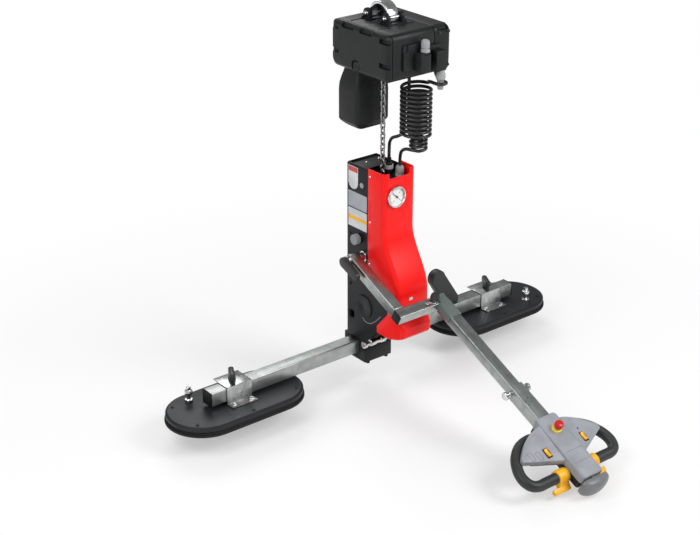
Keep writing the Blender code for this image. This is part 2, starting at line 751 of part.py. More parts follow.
def build_gauge(root):
    place = Matrix.Translation((GAUGE_X, 0, GAUGE_Z))
    front = COVER_FRONT
    neck = GAUGE_RADIUS - GAUGE_LIP - RUNNING
    case = turned("gauge_case", [(neck, front + 0.028), (neck, front - TOUCH), (GAUGE_RADIUS, front - TOUCH),
                                 (GAUGE_RADIUS, front - 0.006), (GAUGE_RADIUS - 0.0025, front - 0.008),
                                 (GAUGE_RADIUS - 0.0035, front - 0.004), (0.0012, front - 0.004)], "y", 32)
    finish("gauge_case", case, root, place, *BRIGHT, smooth=35)
    pointer = [(-0.0012, -0.006), (0.0012, -0.006), (0.0004, NEEDLE_REACH), (-0.0004, NEEDLE_REACH)]
    needle = prism("gauge_needle", pointer, "y", front - 0.0058, front - 0.0043)
    finish("gauge_needle", needle, root, place @ Matrix.Rotation(NEEDLE_ANGLE, 4, "Y"), *BLACK_PLASTIC)


def build_side_parts(root):
    outer = -HALF_FRAME - TOUCH
    end = outer - KNOB_DEPTH
    knob = turned("side_knob", [(0.009, outer), (0.009, outer - 0.004), (KNOB_RADIUS, outer - 0.005),
                                (KNOB_RADIUS, end + 0.002), (KNOB_RADIUS - 0.002, end)], "x", 20)
    finish("side_knob", knob, root, Matrix.Translation((0, KNOB_Y, KNOB_Z)), *GREY_PLASTIC, smooth=30)

    start = HALF_FRAME + TOUCH
    arm = ARM_X - ARM_SIZE / 2 - TOUCH
    end = ARM_X + ARM_SIZE / 2 + TOUCH
    profile = [(WASHER_RADIUS, start), (WASHER_RADIUS, arm), (BOLT_RADIUS, arm), (BOLT_RADIUS, end),
               (0.014, end), (0.014, end + 0.006), (0.012, end + HEAD_OF_BOLT)]
    bolt = turned("bolt", [(radius, -level) for radius, level in profile], "x", 24)
    finish("pivot_bolt_left", bolt, root, Matrix.Translation((0, PIVOT_Y, PIVOT_Z)), *BRIGHT, smooth=30)

    reach = HALF_FRAME - SHEET - TOUCH
    rear = FRAME_BACK - SHEET - TOUCH
    outline = [(BEAM_Y - BLOCK_DEPTH / 2, BLOCK_BOTTOM), (BEAM_Y + BLOCK_DEPTH / 2, BLOCK_BOTTOM),
               (BEAM_Y + BLOCK_DEPTH / 2, FRAME_BOTTOM - TOUCH), (rear, FRAME_BOTTOM - TOUCH),
               (rear, BLOCK_TOP), (BEAM_Y - BLOCK_DEPTH / 2 + 0.010, BLOCK_TOP),
               (BEAM_Y - BLOCK_DEPTH / 2, BLOCK_TOP - 0.010)]
    block = finish("tilt_block", prism("tilt_block", outline, "x", -reach, reach), root, IDENTITY, *BLACK_PAINT)
    bore = cylinder("tilt_bore", HUB_RADIUS + RUNNING, "x", -0.06, 0.06, 48)
    cut(block, bore, Matrix.Translation((0, BEAM_Y, BEAM_Z)))

    build_manifold(root)


def build_manifold(root):
    """A turned vacuum fitting lies along the slanted lower edge of the left cheek and reaches past it."""
    radius = MANIFOLD_RADIUS
    bead = radius - 0.002
    stem = radius - 0.0035
    profile = [(bead, -0.088), (radius, -0.086), (radius, -0.076), (stem, -0.075), (stem, -0.064), (radius, -0.063),
               (radius, -0.045), (bead, -0.044), (bead, -0.028), (radius, -0.027), (radius, -0.012), (stem, -0.011),
               (stem, -0.006)]
    start = Vector((0, CHEEK_TOE, FRAME_BOTTOM))
    edge = (Vector((0, *CHEEK_KNEE)) - start).normalized()
    outward = Vector((0, -edge.z, edge.y))
    place = start + MANIFOLD_UP * edge + (radius + TOUCH) * outward
    manifold = turned("vacuum_manifold", profile, "x", 12)
    finish("vacuum_manifold", manifold, root, Matrix.Translation(place), *BRIGHT, smooth=30)


# Crossbeam

def square_ring(half, steps):
    """Points round a square at the angles of a circle's points, so that the two can be bridged."""
    points = []
    for x, y in circle(1.0, steps):
        scale = half / max(abs(x), abs(y))
        points.append((x * scale, y * scale))
    return points


def end_cap(plug, half, reach, thickness, side):
    """A cap on the end of a square tube, with a plug inside it."""
    levels = [(plug, reach - 0.012), (plug, reach + TOUCH), (half, reach + TOUCH), (half, reach + TOUCH + thickness)]
    return loft("cap", [[along("x", p, side * level) for p in square_ring(size, 16)] for size, level in levels])


def build_beam(tilt):
    """The beam's own frame has its origin on the beam's axis, so the empty above it can tilt it."""
    half = BEAM_SIZE / 2
    reach = BEAM_LENGTH / 2
    tube = hollow("tube", rectangle((-half, -half), (half, half), 0.003, 3),
                  rectangle((-half + BEAM_WALL, -half + BEAM_WALL), (half - BEAM_WALL, half - BEAM_WALL), 0.001, 3),
                  "x", -reach, reach)
    hub_reach = HUB_LENGTH / 2
    hub = hollow("hub", circle(HUB_RADIUS, 48), square_ring(half - 0.0015, 48), "x", -hub_reach, hub_reach)
    beam = finish("crossbeam", tube, tilt, IDENTITY, *ZINC, smooth=30)
    cut(beam, hub, IDENTITY, "UNION")

    plug = half - BEAM_WALL - 2 * TOUCH
    for name, side in SIDES.items():
        cap = end_cap(plug, half, reach, CAP_THICKNESS, side)
        finish(f"beam_cap_{name}", cap, tilt, IDENTITY, *BLACK_PLASTIC)

    foot = half + TOUCH
    outer = FOOT_INNER + FOOT_WIDTH
    outline = [(FOOT_INNER, foot), (outer, foot), (outer - 0.002, foot + FOOT_HEIGHT)]
    outline += arc((PADDLE_X, foot + PADDLE_ABOVE), PADDLE_RADIUS, 20, 225, 12)
    paddle = prism("tilt_handle", outline, "y", -PADDLE_THICKNESS / 2, PADDLE_THICKNESS / 2)
    finish("tilt_handle", paddle, tilt, IDENTITY, *BLACK_PLASTIC, smooth=30)


def stadium_at(length, width, level):
    return [along("z", p, level) for p in stadium(length, width)]


def closed_sweep(name, rings):
    """Bridge rings in order and the last back to the first, which leaves the middle open."""
    bm = bmesh.new()
    loops = add_loft(bm, rings, caps=False)
    for i in range(len(loops[0])):
        j = (i + 1) % len(loops[0])
        bm.faces.new((loops[-1][i], loops[-1][j], loops[0][j], loops[0][i]))
    return mesh_from(bm, name)


def build_pad(name, side, tilt):
    """One long suction pad under its bracket; the right one is the left one turned half round."""
    place = Matrix.Translation((side * PAD_SPACING, 0, -BEAM_Z))
    turn = place @ Matrix.Rotation(0 if side < 0 else math.pi, 4, "Z")

    lip = 2 * SEAL_RIM
    seal = closed_sweep("seal", [stadium_at(PAD_LENGTH, PAD_WIDTH, 0.0),
                                 stadium_at(PAD_LENGTH - 0.004, PAD_WIDTH - 0.004, SEAL_HEIGHT * 0.5),
                                 stadium_at(PAD_LENGTH - 0.008, PAD_WIDTH - 0.008, SEAL_HEIGHT),
                                 stadium_at(PAD_LENGTH - lip, PAD_WIDTH - lip, SEAL_HEIGHT),
                                 stadium_at(PAD_LENGTH - lip * 0.7, PAD_WIDTH - lip * 0.7, 0.0)])
    finish(f"pad_seal_{name}", seal, tilt, turn, *RUBBER, smooth=30)

    base = SEAL_HEIGHT + TOUCH
    plate = loft("plate", [stadium_at(PAD_LENGTH - 0.006, PAD_WIDTH - 0.006, base),
                           stadium_at(PAD_LENGTH - 0.006, PAD_WIDTH - 0.006, PAD_TOP - PLATE_CHAMFER),
                           stadium_at(PAD_LENGTH - 0.006 - 3 * PLATE_CHAMFER,
                                      PAD_WIDTH - 0.006 - 3 * PLATE_CHAMFER, PAD_TOP)])
    plate = finish(f"pad_plate_{name}", plate, tilt, turn, *BLACK_PAINT, smooth=30)
    plug = turned("plug", [(0.008, -SUNK), (0.008, 0.004), (0.005, 0.006)], "z", 12)
    cut(plate, plug, Matrix.Translation((0.007, 0.078, PAD_TOP)), "UNION")

    inner = BEAM_SIZE / 2 + TOUCH
    outer = inner + BRACKET_SHEET
    roof = BEAM_Z + BEAM_SIZE / 2 + TOUCH
    top = roof + BRACKET_SHEET
    foot = PAD_TOP + TOUCH
    shelf = foot + BRACKET_SHEET
    ledge = outer + 0.020
    hat = [(-outer - FLANGE, foot), (-inner, foot), (-inner, roof), (inner, roof), (inner, foot),
           (outer + FLANGE, foot), (outer + FLANGE, shelf), (outer, shelf), (outer, roof), (ledge, roof),
           (ledge, top), (-outer, top), (-outer, shelf), (-outer - FLANGE, shelf)]
    reach = BRACKET_LENGTH / 2
    finish(f"pad_bracket_{name}", prism("bracket", hat, "x", -reach, reach), tilt, place, *ZINC)

    levels = [(0.024, 0.020, 0.0), (0.024, 0.020, 0.006), (0.054, 0.017, 0.012), (0.056, 0.016, 0.024),
              (0.048, 0.010, 0.028)]
    knob = loft("knob", [stadium_at(length, width, level) for length, width, level in levels])
    spot = place @ Matrix.Translation((0.004 * side, 0.006, top + TOUCH)) @ Matrix.Rotation(math.radians(62), 4, "Z")
    finish(f"pad_knob_{name}", knob, tilt, spot, *BLACK_PLASTIC, smooth=40)

    valve = turned("valve", [(VALVE_RADIUS, 0), (VALVE_RADIUS, 0.008), (0.006, 0.009), (0.006, 0.022),
                             (VALVE_RADIUS, 0.024), (VALVE_RADIUS, 0.032), (0.007, 0.034), (0.007, VALVE_HEIGHT)],
                   "z", 12)
    finish(f"pad_valve_{name}", valve, tilt, turn @ Matrix.Translation((-VALVE_X, VALVE_Y, foot)), *BRIGHT,
           smooth=30)


# Cables

def build_cables(root):
    """The coils are solid tubes of the coils' outer size; each straight stretch is a cord of its own."""
    radius = CORD_DIAMETER / 2
    look = BLACK_PLASTIC
    coil = cylinder("coil", COIL_DIAMETER / 2, "z", COIL_BOTTOM, COIL_TOP, 32)
    finish("cable_coil", coil, root, Matrix.Translation((COIL_X, COIL_Y, 0)), *look, smooth=30)
    small = cylinder("small", SMALL_COIL_DIAMETER / 2, "z", SMALL_COIL_BOTTOM, COIL_BOTTOM - TOUCH, 28)
    finish("cable_coil_small", small, root, Matrix.Translation((SMALL_COIL_X, COIL_Y, 0)), *look, smooth=30)

    outlet = HOIST_BOTTOM - TOUCH
    entry = (COIL_X + COIL_DIAMETER / 2 - radius, COIL_Y)
    loop = NECK_RADIUS + radius + 3 * RUNNING
    level = HOIST_BOTTOM + RIGHT_SOCKET_ABOVE - RIGHT_NUT_HEIGHT / 2 - 0.008
    route = [(*OUTLET, outlet - 0.004), (OUTLET[0] - 0.001, OUTLET[1] - 0.004, level + 0.006),
             (OUTLET[0] - 0.004, OUTLET[1] - 0.018, level + 0.001)]
    for x, y in arc(RIGHT_NUT, loop, 15, -185, 12):
        route.append((x, y, level))
    route += [(RIGHT_NUT[0] - loop + 0.002, RIGHT_NUT[1] + 0.022, level - 0.0005),
              (COIL_X + 0.019, COIL_Y - 0.024, COIL_TOP + 0.0165), (entry[0] - 0.006, entry[1] - 0.009, COIL_TOP + 0.0135),
              (entry[0] - 0.0005, entry[1] - 0.001, COIL_TOP + 0.0065), (*entry, COIL_TOP + 0.003)]
    path = [(*OUTLET, outlet)] + smooth_path(route, 0.003) + [(*entry, COIL_TOP + TOUCH)]
    swept("cable_top_lead", path, radius, root, look)

    def beside(centre_x, coil_radius, angle, distance):
        reach = coil_radius + distance
        return (centre_x + reach * math.cos(math.radians(angle)), COIL_Y + reach * math.sin(math.radians(angle)))

    plug_top = PLATE_Z + PLATE_SHEET + TOUCH + PLUG_HEIGHT
    level = COIL_BOTTOM + 0.007
    route = [(*beside(COIL_X, COIL_DIAMETER / 2, 120, 0.006), level), (0.011, -0.026, 0.696),
             (0.019, -0.008, 0.686), (*PLUG, 0.660), (*PLUG, 0.640), (*PLUG, plug_top + 0.006)]
    path = [(*beside(COIL_X, COIL_DIAMETER / 2, 120, 0.0006), level)] + smooth_path(route, 0.004)
    swept("cable_plug_lead", path + [(*PLUG, plug_top)], radius, root, look)

    gland_top = PLATE_Z + PLATE_SHEET + TOUCH + GLAND_HEIGHT
    level = SMALL_COIL_BOTTOM + 0.007
    route = [(*beside(SMALL_COIL_X, SMALL_COIL_DIAMETER / 2, 125, 0.005), level), (0.0280, -0.0480, 0.6500),
             (0.0305, -0.0365, 0.6350), (*GLAND, 0.620), (*GLAND, gland_top + 0.006)]
    path = [(*beside(SMALL_COIL_X, SMALL_COIL_DIAMETER / 2, 125, 0.0008), level)] + smooth_path(route, 0.004)
    swept("cable_gland_lead", path + [(*GLAND, gland_top)], radius, root, look)


# Handle frame

def square_tube(name, half_x, half_n, wall, start, end):
    """A length of rectangular tube along the handle, centred on its own axis."""
    outer = rectangle((-half_x, -half_n), (half_x, half_n), 0.003, 2)
    inner = rectangle((-half_x + wall, -half_n + wall), (half_x - wall, half_n - wall), 0.001, 2)
    return hollow(name, outer, inner, "y", -end, -start)


def build_bail(bail):
    """One arm on the unit's left side carries a cross tube, and the handle tube leaves it on the right."""
    half = ARM_SIZE / 2
    inside = half - ARM_WALL
    rear = CROSS_AT - half
    outline = arc((0, 0), EYE_RADIUS, -90, 90, 12)
    outline += [(-0.020, half), (-rear + TOUCH, half), (-rear + TOUCH, -half), (-0.020, -half)]
    arm = finish("bail_arm_left", prism("arm", outline, "x", -half, half), bail,
                 Matrix.Translation((-ARM_X, 0, 0)), *ZINC, smooth=30)
    cut(arm, cylinder("bolt_hole", BOLT_RADIUS + RUNNING, "x", -half - 0.01, half + 0.01, 24), IDENTITY)
    cut(arm, prism("bore", rectangle((-inside, -inside), (inside, inside)), "y", -rear - 0.01, -0.028), IDENTITY)

    reaches = {"left": ARM_X + half, "right": TUBE_X + TUBE_WIDTH / 2 + CLIP_SHEET}
    cross = hollow("cross", rectangle((-half, -half), (half, half), 0.003, 2),
                   rectangle((-inside, -inside), (inside, inside), 0.001, 2), "x", -reaches["left"], reaches["right"])
    yoke = finish("handle_yoke", shifted(cross, (0, -CROSS_AT, 0)), bail, IDENTITY, *ZINC)
    for name, side in SIDES.items():
        cap = end_cap(inside - 2 * TOUCH, half, reaches[name], 0.003, side)
        finish(f"bail_cap_{name}", cap, bail, Matrix.Translation((0, -CROSS_AT, 0)), *BLACK_PLASTIC)

    front = CROSS_AT + half
    place = Matrix.Translation((TUBE_X, 0, 0))
    tube = square_tube("tube", TUBE_WIDTH / 2, half - TOUCH, ARM_WALL, front - SUNK, TUBE_END)
    cut(yoke, tube, place, "UNION")
    wide = TUBE_WIDTH / 2
    high = half
    thick = CLIP_SHEET
    clip = [(-wide - thick, -0.006), (-wide + SUNK, -0.006), (-wide + SUNK, high - SUNK), (wide - SUNK, high - SUNK),
            (wide - SUNK, -0.006), (wide + thick, -0.006), (wide + thick, high + 0.001), (wide + 0.001, high + thick),
            (-wide - 0.001, high + thick), (-wide - thick, high + 0.001)]
    cut(yoke, prism("clip", clip, "y", -front - 0.052, -front + 0.0005), place, "UNION")

    knob = turned("corner_knob", [(0.0065, 0), (0.0065, 0.005), (0.010, 0.007), (0.0125, 0.012), (0.0125, 0.022),
                                  (0.010, 0.026)], "z", 20)
    finish("corner_knob", knob, bail, Matrix.Translation((0.018, -CROSS_AT, half + TOUCH)), *BLACK_PLASTIC, smooth=30)

    inner = -(ARM_X + half + TOUCH + HEAD_OF_BOLT + TOUCH)
    outline = arc((0, 0), LEVER_HUB, -85, 85, 12) + arc((-LEVER_LENGTH, 0), LEVER_END, 95, 265, 8)
    lever = prism("pivot_lever", outline, "x", inner - LEVER_THICKNESS, inner)
    finish("pivot_lever", lever, bail, IDENTITY, *BLACK_PLASTIC, smooth=30)


def build_sleeve(bail):
    """The head's own tube slides over the handle tube and is held by a clamp screw on each side."""
    half_x = TUBE_WIDTH / 2 + RUNNING + SLEEVE_WALL
    half_n = ARM_SIZE / 2 + RUNNING + SLEEVE_WALL
    place = Matrix.Translation((TUBE_X, 0, 0))
    finish("sleeve", square_tube("sleeve", half_x, half_n, SLEEVE_WALL, SLEEVE_START, HEAD_AT), bail, place, *ZINC)
    for name, side in SIDES.items():
        start = half_x + TOUCH
        profile = [(0.007, start), (0.007, start + 0.007), (0.004, start + 0.008), (0.004, start + 0.014),
                   (0.011, start + 0.015), (0.011, start + 0.022), (0.009, start + 0.023)]
        screw = turned("screw", [(radius, side * level) for radius, level in profile], "x", 12)
        spot = Matrix.Translation((TUBE_X, -SLEEVE_START - 0.012, 0))
        finish(f"clamp_screw_{name}", screw, bail, spot, *BRIGHT, smooth=25)


# Tiller head

def wing_edges(x):
    """Front and rear edges of a wing, as distances from the end of the sleeve, at a distance from the middle."""
    t = (abs(x) - SPINE_HALF) / (WING_TIP - SPINE_HALF)
    return 0.020 + 0.060 * t * t, 0.132 - 0.034 * t + 0.006 * t * t


def head_section(x, front, rear, top, thickness):
    """Rounded outline across the head, front to rear."""
    outline = rectangle((-rear, top - thickness), (-front, top), min(0.004, thickness * 0.3), 2)
    return [along("x", p, x) for p in outline]


def build_head_shell(head):
    """One moulded shell: two drooping wings carried by a higher spine, lofted from tip to tip."""
    wing = [SPINE_HALF + 0.0012 + (WING_TIP - SPINE_HALF - 0.0012) * i / 7 for i in range(8)]
    rings = []
    for x in [-w for w in reversed(wing)]:
        front, rear = wing_edges(x)
        rings.append(head_section(x, front, rear, WING_TOP - DROOP * (-x - SPINE_HALF), WING_THICKNESS))
    for x, front, rear, top in ((-SPINE_HALF, 0.008, SPINE_LENGTH - 0.004, SPINE_TOP - 0.006),
                                (-SPINE_HALF + 0.006, TOUCH, SPINE_LENGTH, SPINE_TOP),
                                (SPINE_HALF - 0.006, TOUCH, SPINE_LENGTH, SPINE_TOP),
                                (SPINE_HALF, 0.008, SPINE_LENGTH - 0.004, SPINE_TOP - 0.006)):
        rings.append(head_section(x, front, rear, top, top - SPLIT))
    for x in wing:
        front, rear = wing_edges(x)
        rings.append(head_section(x, front, rear, WING_TOP - DROOP * (x - SPINE_HALF), WING_THICKNESS))
    shell = finish("head_shell", loft("head_shell", rings), head, IDENTITY, *GREY_PLASTIC, smooth=35)

    half_x, half_y = ROCKER_POCKET[0] / 2, ROCKER_POCKET[1] / 2
    for side in SIDES.values():
        pocket = prism("pocket", rectangle((-half_x, -half_y), (half_x, half_y)), "z", -0.007, 0.02)
        cut(shell, pocket, rocker_place(side))
    stem = cylinder("stem_bore", STEM_RADIUS + RUNNING, "y", -SPINE_LENGTH - 0.01, -SPINE_LENGTH + 0.024, 20)
    cut(shell, stem, Matrix.Translation((0, 0, NOSE_Z)))
    bore = cylinder("button_bore", STEM_RADIUS + RUNNING, "z", SPINE_TOP - 0.014, SPINE_TOP + 0.01, 20)
    cut(shell, bore, Matrix.Translation((0, -BUTTON_AT, 0)))

    lower = []
    for level, inset in ((SPLIT - TOUCH, 0.0), (-0.024, 0.0), (SHELL_BOTTOM, 0.007)):
        outline = rectangle((-SPINE_HALF + inset, -SPINE_LENGTH + 0.004 + inset), (SPINE_HALF - inset, -0.004 - inset),
                            0.006, 3)
        lower.append([along("z", p, level) for p in outline])
    finish("head_lower", loft("head_lower", lower), head, IDENTITY, *BLACK_PLASTIC, smooth=30)


def rocker_place(side):
    level = WING_TOP - DROOP * (ROCKER[0] - SPINE_HALF)
    return Matrix.Translation((side * ROCKER[0], -ROCKER[1], level))


def build_grip(name, side, head):
    """A closed hand loop: it leaves the lower shell, passes under the wing and comes back to the lever's hub."""
    points = [(SPINE_HALF + TOUCH, 0.030), (0.060, 0.026), (0.095, 0.033), (0.128, 0.056), (0.149, 0.087),
              (0.156, 0.115), (0.149, 0.139), (0.130, 0.1495), (0.105, LEVER_AT), (LEVER_REACH + 0.0015, LEVER_AT)]
    path = smooth_path([(x, -b, LEVER_Z) for x, b in points], 0.0095)
    radii = [GRIP_RADIUS] * len(path)
    step = LEVER_REACH + TOUCH
    path[-1] = Vector((step, -LEVER_AT, LEVER_Z))
    path += [Vector((step, -LEVER_AT, LEVER_Z)), Vector((SPINE_HALF + TOUCH, -LEVER_AT, LEVER_Z))]
    radii += [LEVER_BORE - RUNNING] * 2
    rings = []
    for i, place in enumerate(path):
        if i >= len(path) - 3:
            heading = Vector((-1, 0, 0))
        elif i == 0:
            heading = Vector((1, 0, 0))
        else:
            heading = (path[i + 1] - path[i - 1]).normalized()
        sideways = heading.cross(Vector((0, 0, 1))).normalized()
        ring = []
        for x, z in circle(radii[i], 14):
            offset = sideways * x + Vector((0, 0, 1)) * z
            ring.append(Vector(((place + offset).x * side, (place + offset).y, (place + offset).z)))
        rings.append(ring)
    finish(f"grip_{name}", loft("grip", rings), head, IDENTITY, *RUBBER, smooth=40)


def build_lever(name, side, head):
    """A thumb lever: a ring round the loop's inner end, a rear paddle, and a tab beside the hand."""
    start = SPINE_HALF + 0.002
    cam = arc((0, 0), LEVER_RADIUS, -70, 190, 16)
    cam += [(-0.024, -0.012), (-0.036, -0.016), (-0.039, -0.022), (-0.034, -0.027), (-0.018, -0.022)]
    low, high = sorted((side * start, side * (LEVER_REACH - TOUCH)))
    lever = finish(f"thumb_lever_{name}", prism("lever", cam, "x", low, high), head,
                   Matrix.Translation((0, -LEVER_AT, LEVER_Z)), *YELLOW, smooth=30)
    tab = [(-0.0215, -0.0125), (-0.036, -0.0165), (-0.0385, -0.022), (-0.034, -0.0265), (-0.0215, -0.0225)]
    low, high = sorted((side * (LEVER_REACH - 0.012), side * (LEVER_REACH + TAB_REACH)))
    cut(lever, prism("tab", tab, "x", low, high), IDENTITY, "UNION")
    low, high = sorted((side * (start - 0.01), side * (LEVER_REACH + 0.005)))
    cut(lever, cylinder("bore", LEVER_BORE, "x", low, high, 24), IDENTITY)


def build_controls(head):
    """Emergency button in its collar, rocker in each wing, and the rounded nose that yields when pressed."""
    bore = STEM_RADIUS + RUNNING
    low = SPINE_TOP + TOUCH
    high = SPINE_TOP + COLLAR_HEIGHT
    profile = [(bore, low), (COLLAR_RADIUS, low), (COLLAR_RADIUS, high - 0.0025), (COLLAR_RADIUS - 0.0015, high),
               (bore, high)]
    spot = Matrix.Translation((0, -BUTTON_AT, 0))
    finish("button_collar", turned("collar", profile, "z", 28, closed=True), head, spot, *YELLOW, smooth=30)
    base = high + BUTTON_TRAVEL + TOUCH
    button = turned("emergency_button", [(STEM_RADIUS, SPINE_TOP - 0.006), (STEM_RADIUS, base), (0.0125, base),
                                         (0.0138, base + 0.003), (0.0138, base + 0.014), (0.012, base + 0.0185),
                                         (0.007, base + 0.0200)], "z", 28)
    finish("emergency_button", button, head, spot, *RED_PLASTIC, smooth=30)

    for name, side in SIDES.items():
        outline = [(-0.0110, -0.0055), (0.0110, -0.0055), (0.0115, 0.0035), (0.0, 0.0005), (-0.0115, 0.0035)]
        rocker = prism("rocker", outline, "x", -0.0048, 0.0048)
        finish(f"rocker_{name}", rocker, head, rocker_place(side) @ Matrix.Translation((0, 0, 0.0014)), *YELLOW,
               smooth=30)

    gap = SPINE_LENGTH + NOSE_TRAVEL + TOUCH
    rings = []
    for level, half in ((-0.030, NOSE_HALF - 0.013), (-0.022, NOSE_HALF - 0.004), (-0.006, NOSE_HALF),
                        (0.010, NOSE_HALF - 0.002), (0.019, NOSE_HALF - 0.010)):
        ring = [(-half, -gap)]
        for i in range(13):
            angle = math.pi * i / 12
            swell = (NOSE_LENGTH - 0.006) * math.sin(angle) * half / NOSE_HALF
            ring.append((-half * math.cos(angle), -gap - 0.006 - swell))
        ring.append((half, -gap))
        rings.append([along("z", p, level - NOSE_Z) for p in ring])
    nose = finish("nose_bumper", loft("nose", rings), head, Matrix.Translation((0, 0, NOSE_Z)), *GREY_PLASTIC,
                  smooth=35)
    cut(nose, cylinder("nose_stem", STEM_RADIUS, "y", -gap - 0.004, -SPINE_LENGTH + 0.016, 20), IDENTITY, "UNION")


def main():
    clear_scene()
    root = empty("vacuum_lifter", None, Matrix.Translation((0, 0, -EYE_Z)))
    build_hoist(root)
    build_chain(root)
    build_frame(root)
    build_cover(root)
    build_inside(root)
    build_gauge(root)
    build_side_parts(root)
    build_cables(root)

    tilt = empty("tilt_axis", root, Matrix.Translation((0, BEAM_Y, BEAM_Z)))
    build_beam(tilt)
    for name, side in SIDES.items():
        build_pad(name, side, tilt)

    bail = empty("bail_axis", root,
                 Matrix.Translation((0, PIVOT_Y, PIVOT_Z)) @ Matrix.Rotation(HANDLE_ANGLE, 4, "X"))
    build_bail(bail)
    build_sleeve(bail)

    head = empty("head_frame", bail, Matrix.Translation((TUBE_X, -HEAD_AT, 0)))
    build_head_shell(head)
    build_controls(head)
    for name, side in SIDES.items():
        build_grip(name, side, head)
        build_lever(name, side, head)


main()
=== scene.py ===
"""Dressed model of a vacuum lifting device: chain hoist, vacuum unit, crossbeam with pads, tiller handle.

Pieces are shaped above the plane of the pads' undersides, handle pieces in the handle's own plane, and
each is then settled into the frame whose origin is the crown of the suspension bow.
"""
import math

import bmesh
import bpy
from mathutils import Matrix, Vector


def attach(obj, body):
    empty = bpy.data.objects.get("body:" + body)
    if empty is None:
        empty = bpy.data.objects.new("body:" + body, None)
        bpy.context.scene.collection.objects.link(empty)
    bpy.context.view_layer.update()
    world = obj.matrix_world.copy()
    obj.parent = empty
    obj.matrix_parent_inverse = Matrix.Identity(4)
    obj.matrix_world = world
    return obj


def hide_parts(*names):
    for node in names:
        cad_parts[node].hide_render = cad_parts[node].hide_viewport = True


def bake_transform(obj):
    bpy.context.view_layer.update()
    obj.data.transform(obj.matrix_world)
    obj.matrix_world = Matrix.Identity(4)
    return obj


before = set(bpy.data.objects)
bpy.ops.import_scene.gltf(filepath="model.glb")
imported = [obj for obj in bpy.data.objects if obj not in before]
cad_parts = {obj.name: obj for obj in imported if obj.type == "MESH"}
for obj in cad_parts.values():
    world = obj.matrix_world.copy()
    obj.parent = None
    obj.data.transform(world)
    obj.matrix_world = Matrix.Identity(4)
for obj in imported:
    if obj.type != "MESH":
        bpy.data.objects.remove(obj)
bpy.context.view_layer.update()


def at(x, y, z):
    """A place, as a matrix."""
    return Matrix.Translation((x, y, z))


def facing(side):
    """Mirrors to the left for side -1 and leaves the right as it is."""
    return Matrix.Scale(side, 4, (1, 0, 0))


SIDES = {"left": -1, "right": 1}
EYE_Z = 1.037              # crown of the bow above the pads' undersides
FLOOR_Z = -1.104           # below the crown, clear of the tiller head
TO_ORIGIN = at(0.0, 0.0, -EYE_Z)
BEAM_AXIS = at(0.0, 0.057, 0.055)
PIVOT = at(0.0, 0.012, 0.343)
HANDLE_SLOPE = 25.0
HANDLE = PIVOT @ Matrix.Rotation(math.radians(HANDLE_SLOPE), 4, "X")
TUBE_X = 0.046
SLEEVE_END = 0.660         # along the handle from its pivot
HEAD = HANDLE @ at(TUBE_X, -SLEEVE_END, 0.0)


# Finishes

def new_finish(name, colour, metallic, roughness, specular=0.5):
    finish = bpy.data.materials.new(name)
    finish.use_nodes = True
    shader = finish.node_tree.nodes["Principled BSDF"]
    shader.inputs["Base Color"].default_value = (*colour, 1.0)
    shader.inputs["Metallic"].default_value = metallic
    shader.inputs["Roughness"].default_value = roughness
    shader.inputs["Specular IOR Level"].default_value = specular
    return finish, finish.node_tree, shader


def object_noise(tree, scale, detail, stretch=(1.0, 1.0, 1.0)):
    """Noise fixed to the piece, drawn out along an axis if it is stretched."""
    place = tree.nodes.new("ShaderNodeTexCoord")
    mapping = tree.nodes.new("ShaderNodeMapping")
    mapping.inputs["Scale"].default_value = stretch
    noise = tree.nodes.new("ShaderNodeTexNoise")
    noise.inputs["Scale"].default_value = scale
    noise.inputs["Detail"].default_value = detail
    tree.links.new(place.outputs["Object"], mapping.inputs["Vector"])
    tree.links.new(mapping.outputs["Vector"], noise.inputs["Vector"])
    return noise.outputs["Fac"]


def vary_colour(tree, shader, factor, dark, light, low=0.35, high=0.65):
    ramp = tree.nodes.new("ShaderNodeValToRGB")
    ramp.color_ramp.elements[0].position = low
    ramp.color_ramp.elements[0].color = (*dark, 1.0)
    ramp.color_ramp.elements[1].position = high
    ramp.color_ramp.elements[1].color = (*light, 1.0)
    tree.links.new(factor, ramp.inputs["Fac"])
    tree.links.new(ramp.outputs["Color"], shader.inputs["Base Color"])


def vary_roughness(tree, shader, factor, low, high):
    spread = tree.nodes.new("ShaderNodeMapRange")
    spread.inputs["From Min"].default_value = 0.3
    spread.inputs["From Max"].default_value = 0.7
    spread.inputs["To Min"].default_value = low
    spread.inputs["To Max"].default_value = high
    tree.links.new(factor, spread.inputs["Value"])
    tree.links.new(spread.outputs["Result"], shader.inputs["Roughness"])


def raise_grain(tree, shader, factor, strength, distance):
    bump = tree.nodes.new("ShaderNodeBump")
    bump.inputs["Strength"].default_value = strength
    bump.inputs["Distance"].default_value = distance
    tree.links.new(factor, bump.inputs["Height"])
    tree.links.new(bump.outputs["Normal"], shader.inputs["Normal"])


def shade(colour, factor):
    return tuple(min(1.0, c * factor) for c in colour)


def moulded(name, colour, roughness, grain=1400.0, strength=0.25, specular=0.5):
    """Moulded plastic: a fine spark-eroded grain and faint handling marks."""
    finish, tree, shader = new_finish(name, colour, 0.0, roughness, specular)
    marks = object_noise(tree, 22.0, 4.0)
    vary_colour(tree, shader, marks, shade(colour, 0.88), shade(colour, 1.10))
    vary_roughness(tree, shader, marks, roughness - 0.05, roughness + 0.06)
    raise_grain(tree, shader, object_noise(tree, grain, 2.0), strength, 0.0003)
    return finish


